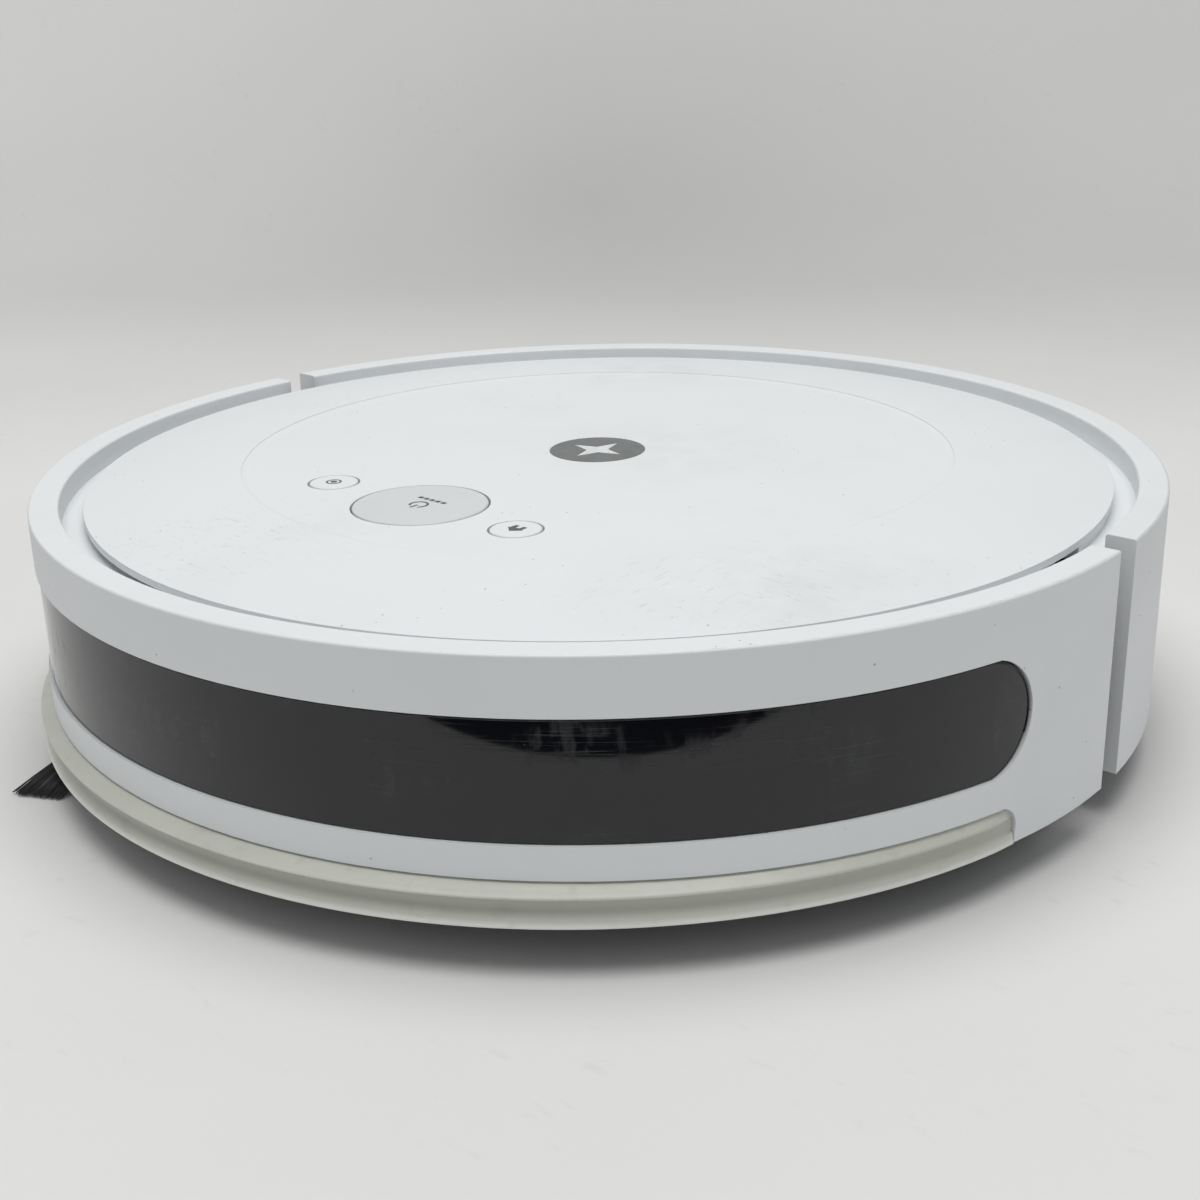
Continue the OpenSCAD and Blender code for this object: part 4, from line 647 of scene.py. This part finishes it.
def strip_ring(angle, profile):
    """One section across the strip. Near an end its corner is rounded and its ridge sinks."""
    end = math.radians(STRIP_END)
    inset = (end - abs(angle)) * BODY_R
    reach = strip_reach(angle)
    fade = max(0.0, min(1.0, inset / STRIP_FADE))
    fade = fade * fade * (3 - 2 * fade)
    top = STRIP_TOP
    if inset < STRIP_CORNER:
        top -= STRIP_CORNER - math.sqrt(max(0.0, STRIP_CORNER ** 2 - (STRIP_CORNER - inset) ** 2))
    points = []
    for share, extra, height in profile:
        upper = (height - STRIP_BOTTOM) / (STRIP_TOP - STRIP_BOTTOM)
        z = STRIP_BOTTOM + upper * (top - STRIP_BOTTOM)
        ridge = share * (0.15 + 0.85 * fade if z > STRIP_WAIST else 0.8 + 0.2 * fade)
        points.append((BODY_R - STRIP_SUNK + ridge * (reach + STRIP_SUNK) + extra, z))
    inner = BODY_R - STRIP_BACK
    points.append((inner, STRIP_BOTTOM + 0.02))
    points.append((inner, top - 0.15))
    return [Vector((r * math.sin(angle), -r * math.cos(angle), z)) * MM for r, z in points]


def build_strip(material):
    """The soft strip along the bumper's lower edge, swept round the body section by section."""
    profile = smooth_profile(STRIP_PROFILE)
    end = math.radians(STRIP_END) - STRIP_END_GAP / BODY_R
    points = []
    for i in range(STRIP_STEPS + 1):
        along = -1 + 2 * i / STRIP_STEPS
        angle = end * math.copysign(1 - (1 - abs(along)) ** STRIP_CROWDING, along)
        points.extend(strip_ring(angle, profile))
    sides = len(points) // (STRIP_STEPS + 1)
    faces = ring_faces(STRIP_STEPS + 1, sides)
    piece = add_piece("soft_bumper_strip", points, faces, material, "bumper", "soft_strip")
    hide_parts("bumper_strip")


# ---------- painted shade over the window ---

SHADE_BEAD_R = 0.3
SHADE_BEAD_DEPTH = 0.8  # how far the bead's centre lies inside the round body
SHADE_BEAD_SIDES = 6
SHADE_BEAD_STEPS = 300
SHADE_BEAD_END_STEPS = 36
SHADE_BEAD_END_TURN = math.pi * 0.62  # how far the bead goes round each end
SHADE_BEAD_BOX = (33.3, 64.15, 79.8)  # lowest and highest centre of the bead in mm, and its half angle in degrees


def window_outline():
    """Angles in radians and heights in mm over the top of the window's opening and down its round ends."""
    low, high, half_angle = SHADE_BEAD_BOX
    half, middle = (high - low) / 2, (high + low) / 2
    straight = math.radians(half_angle) - half / BODY_R
    turns = [SHADE_BEAD_END_TURN * i / SHADE_BEAD_END_STEPS for i in range(1, SHADE_BEAD_END_STEPS + 1)]
    end = [(straight + half * math.sin(turn) / BODY_R, middle + half * math.cos(turn)) for turn in turns]
    top = [(straight * (2 * i / SHADE_BEAD_STEPS - 1), high) for i in range(SHADE_BEAD_STEPS + 1)]
    return [(-angle, height) for angle, height in reversed(end)] + top + end


def build_window_shade_bead(material):
    """A thin black bead of painted shade in the joint between the window and the bumper's upper edge, where the
    bumper's lip shades the window.
    """
    outline = window_outline()
    points = []
    for angle, height in outline:
        for j in range(SHADE_BEAD_SIDES):
            turn = 2 * math.pi * j / SHADE_BEAD_SIDES
            r = BODY_R - SHADE_BEAD_DEPTH + SHADE_BEAD_R * math.cos(turn)
            z = height + SHADE_BEAD_R * math.sin(turn)
            points.append(Vector((r * math.sin(angle), -r * math.cos(angle), z)) * MM)
    faces = ring_faces(len(outline), SHADE_BEAD_SIDES)
    add_piece("window_shade_bead", points, faces, material, "bumper", "dark_small")


# ---------- bristles ----------

HAIR_TAPER = 0.55


def hair(start, direction, length, radius, droop, bow=Vector((0, 0, 0)), sides=5, rings=6):
    """One tapered bristle that sags by droop at its tip and swings out by bow at its middle."""
    direction = direction.normalized()
    side = direction.cross(UP)
    side = side.normalized() if side.length > 1e-4 else Vector((1, 0, 0))
    up = side.cross(direction)
    points = []
    for i in range(rings):
        t = i / (rings - 1)
        middle = start + direction * (length * t) - UP * (droop * t * t) + bow * (4 * t * (1 - t))
        width = radius * (1 - HAIR_TAPER * t * t)
        for j in range(sides):
            angle = 2 * math.pi * j / sides
            points.append(middle + (side * math.cos(angle) + up * math.sin(angle)) * width)
    return points, ring_faces(rings, sides)


SIDE_ARMS = 3
SIDE_START = -47  # direction of the first arm in degrees
SIDE_HAIRS = 190
SIDE_STRAYS = 7
SIDE_HUB_R = 36.4 * MM
SIDE_ROOT_Z = 8.2 * MM
SIDE_ROOT_SPREAD = 2.7 * MM
SIDE_ROOT_LAYER = 1.1 * MM
SIDE_HAIR_R = 0.22 * MM
SIDE_HAIR_LENGTHS = (34 * MM, 31 * MM, 29 * MM)  # the tufts have worn down unevenly
SIDE_SWEEPS = (-35, -40, -50)  # degrees that each tuft trails behind its arm
SIDE_FAN = 9  # degrees that the outermost bristles lean out from the middle ones
SIDE_FALL = 0.12  # how steeply the bristles go down
SIDE_BOW = -0.8 * MM


def build_side_brush_hairs(black, pale):
    """Tufts at the ends of the side brush's arms, trimmed at a slant, with a few pale stray bristles."""
    axis = Vector(JOINTS["side_brush_spin"]["pos_m"])
    dice = random.Random(11)
    dark_parts, pale_parts = [], []
    for arm in range(SIDE_ARMS):
        angle = math.radians(SIDE_START + 360 * arm / SIDE_ARMS)
        out = Vector((math.cos(angle), math.sin(angle), 0))
        across = UP.cross(out)
        for i in range(SIDE_HAIRS):
            spread = dice.uniform(-1, 1)
            layer = dice.uniform(-1, 1)
            root = out * SIDE_HUB_R + across * (spread * SIDE_ROOT_SPREAD)
            start = Vector((axis.x, axis.y, SIDE_ROOT_Z + layer * SIDE_ROOT_LAYER)) + root
            lean = math.radians(SIDE_SWEEPS[arm] + spread * SIDE_FAN + dice.gauss(0, 1.2))
            slant = 0.05 * (spread + 1) / 2
            length = SIDE_HAIR_LENGTHS[arm] * (1.0 - slant - abs(dice.gauss(0, 0.02)))
            flat = out * math.cos(lean) + across * math.sin(lean)
            bow = (across * math.cos(lean) - out * math.sin(lean)) * SIDE_BOW
            tip_height = (0.5 + 0.4 * (layer + 1)) * MM
            drop = max(0.0, start.z - tip_height - SIDE_FALL * length)
            stray = i >= SIDE_HAIRS - SIDE_STRAYS
            reach = length * (0.93 if stray else 1.0)
            part = hair(start, flat - UP * SIDE_FALL, reach, SIDE_HAIR_R, drop, bow)
            (pale_parts if stray else dark_parts).append(part)
    dark = add_piece("side_brush_tufts", *join(dark_parts), black, "side_brush", "black_bristle")
    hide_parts("side_brush_bristles")
    add_piece("side_brush_stray_hairs", *join(pale_parts), pale, "side_brush", "grey_bristle")


BRUSH_ROWS = 3
BRUSH_TWIST = 60  # degrees that each row turns from the middle to either end
BRUSH_CORE_R = 8 * MM
BRUSH_ROOT_GAP = 0.1 * MM
BRUSH_R = 22.9 * MM
BRUSH_HAIR_R = 0.14 * MM
BRUSH_END_GAP = 0.3 * MM
TUFTS_PER_ROW = 44
HAIRS_PER_TUFT = 15


def build_main_brush_hairs(material):
    """Tufts of bristle in three chevron rows round the main brush."""
    low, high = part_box("main_brush_bristles")
    centre = Vector(JOINTS["main_brush_spin"]["pos_m"])
    middle, half = (low.x + high.x) / 2, (high.x - low.x) / 2
    dice = random.Random(23)
    parts = []
    for row in range(BRUSH_ROWS):
        for tuft in range(TUFTS_PER_ROW):
            along = -1 + 2 * (tuft + 0.5) / TUFTS_PER_ROW
            angle = 360 * row / BRUSH_ROWS - BRUSH_TWIST * abs(along)
            for _ in range(HAIRS_PER_TUFT):
                lean = math.radians(angle + dice.gauss(0, 2.6))
                x = middle + along * half * 0.985 + dice.gauss(0, 0.55 * MM)
                x = max(low.x + BRUSH_END_GAP, min(high.x - BRUSH_END_GAP, x))
                out = Vector((0, math.cos(lean), math.sin(lean)))
                root = Vector((x, centre.y, centre.z)) + out * (BRUSH_CORE_R + BRUSH_ROOT_GAP)
                length = BRUSH_R - BRUSH_CORE_R - BRUSH_ROOT_GAP - abs(dice.gauss(0, 0.25 * MM))
                direction = out + Vector((dice.gauss(0, 0.03), 0, 0))
                part = hair(root, direction, length * 0.995, BRUSH_HAIR_R, 0.0, sides=4, rings=3)
                parts.append(part)
    piece = add_piece("main_brush_tufts", *join(parts), material, "main_brush", "grey_bristle")
    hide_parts("main_brush_bristles")


# ---------- stage ----------

VIEW_FROM = Vector((0.34507, -0.38324, 0.21810))
VIEW_TURN = math.radians(132.03)
VIEW_DOWN = math.radians(19.93)
VIEW_ROLL = -0.0235  # radians
LENS = 51.19  # millimetres, like the sensor's width
SENSOR_WIDTH = 36
VIEW_FLAT = Vector((math.cos(VIEW_TURN), math.sin(VIEW_TURN), 0))  # where the camera looks, along the floor

FLOOR_NEAR = -4.0
FLOOR_FAR = 0.75
FLOOR_HALF_WIDTH = 4.0
BEND_R = 0.45
WALL_TOP = 2.5

CARD_NEAR = 0.285
CARD_FAR = 3.5
CARD_HALF_WIDTH = 3.0
CARD_HEIGHT = 0.5 * MM


def camera_axes():
    """The camera's right, up and forward directions."""
    ahead = VIEW_FLAT * math.cos(VIEW_DOWN) - UP * math.sin(VIEW_DOWN)
    right = ahead.cross(UP).normalized()
    up = right.cross(ahead)
    cos = math.cos(VIEW_ROLL)
    sin = math.sin(VIEW_ROLL)
    return right * cos + up * sin, up * cos - right * sin, ahead


def build_camera():
    data = bpy.data.cameras.new("camera")
    data.lens = LENS
    data.sensor_width = SENSOR_WIDTH
    camera = bpy.data.objects.new("camera", data)
    bpy.context.scene.collection.objects.link(camera)
    right, up, ahead = camera_axes()
    turn = Matrix((right, up, -ahead)).transposed().to_4x4()
    camera.matrix_world = Matrix.Translation(VIEW_FROM) @ turn
    bpy.context.scene.camera = camera


def stage_mesh(name, points, faces, material):
    """Part of the studio, which the object's own model leaves out."""
    mesh = bpy.data.meshes.new(name)
    mesh.from_pydata([tuple(point) for point in points], [], faces)
    mesh.materials.append(material)
    mesh.polygons.foreach_set("use_smooth", [True] * len(mesh.polygons))
    thing = bpy.data.objects.new(name, mesh)
    bpy.context.scene.collection.objects.link(thing)
    return thing


def build_backdrop():
    """A floor that curves up into a wall behind the object, square to the camera."""
    across = UP.cross(VIEW_FLAT) * FLOOR_HALF_WIDTH
    bend = [on_circle((FLOOR_FAR, BEND_R), BEND_R, degrees - 90) for degrees in range(6, 91, 6)]
    section = [(FLOOR_NEAR, 0.0), (FLOOR_FAR, 0.0), *bend, (FLOOR_FAR + BEND_R, WALL_TOP)]
    points = []
    for away, height in section:
        middle = VIEW_FLAT * away + UP * height
        points.extend((middle - across, middle + across))
    faces = [(2 * i, 2 * i + 1, 2 * i + 3, 2 * i + 2) for i in range(len(section) - 1)]
    stage_mesh("backdrop", points, faces, backdrop_card("backdrop_card", VIEW_FLAT))


def build_flag():
    """A matt black card on the floor in front of the object. Only mirror-like reflections see it."""
    shader = Shader("black_card", 0.9)
    shader.colour(shader.mix(shader.noise(0.1), rgba(0.004, 0.005, 0.008), rgba(0.006, 0.007, 0.011)))
    across = UP.cross(-VIEW_FLAT) * CARD_HALF_WIDTH
    near = UP * CARD_HEIGHT - VIEW_FLAT * CARD_NEAR
    far = UP * CARD_HEIGHT - VIEW_FLAT * CARD_FAR
    corners = [near - across, near + across, far + across, far - across]
    card = stage_mesh("black_card", corners, [(0, 1, 2, 3)], shader.material)
    card.visible_camera = False
    card.visible_diffuse = False
    card.visible_shadow = False
    card.visible_transmission = False


def add_area(name, place, aim, size, power, colour):
    """A round soft lamp at place that faces aim, size metres across, with its power in watts."""
    data = bpy.data.lights.new(name, "AREA")
    data.shape = "DISK"
    data.size = size
    data.energy = power
    data.color = colour
    light = bpy.data.objects.new(name, data)
    bpy.context.scene.collection.objects.link(light)
    light.location = place
    light.rotation_mode = "QUATERNION"
    light.rotation_quaternion = (Vector(aim) - Vector(place)).to_track_quat("-Z", "Y")


def build_light():
    world = bpy.data.worlds.new("studio")
    world.use_nodes = True
    sky = world.node_tree.nodes["Background"]
    sky.inputs["Color"].default_value = rgba(0.96, 0.98, 1.0)
    sky.inputs["Strength"].default_value = 0.33
    bpy.context.scene.world = world
    add_area("overhead", (0.14, -0.18, 1.45), (0.0, 0.0, 0.0), 1.3, 15.2, (1.0, 0.998, 0.99))
    # stands beyond the object and faces away from it, so that it lights only the backdrop
    add_area("backdrop_light", (-0.46, 0.25, 0.90), (-0.95, 0.82, 0.62), 0.9, 2.4, (1.0, 0.995, 0.98))
    bpy.context.scene.view_settings.view_transform = "Standard"


def build():
    finishes = make_finishes()
    finish_cad_nodes(finishes)
    grey_ink = printed("grey_ink", rgba(0.075, 0.08, 0.085))
    mark_clean_button(grey_ink)
    mark_spot_button(grey_ink)
    mark_dock_button(grey_ink)
    mark_badge(printed("pale_ink", rgba(0.74, 0.76, 0.77)))
    build_strip(finishes["soft_strip"])
    # A black bead that paints the shade under the bumper's lip along the window's edge.
    build_window_shade_bead(rubber("window_shade_bead", rgba(0.006, 0.006, 0.007), 0.55))
    build_side_brush_hairs(finishes["black_bristle"], finishes["grey_bristle"])
    build_main_brush_hairs(finishes["grey_bristle"])
    build_backdrop()
    build_flag()
    build_light()
    build_camera()


build()
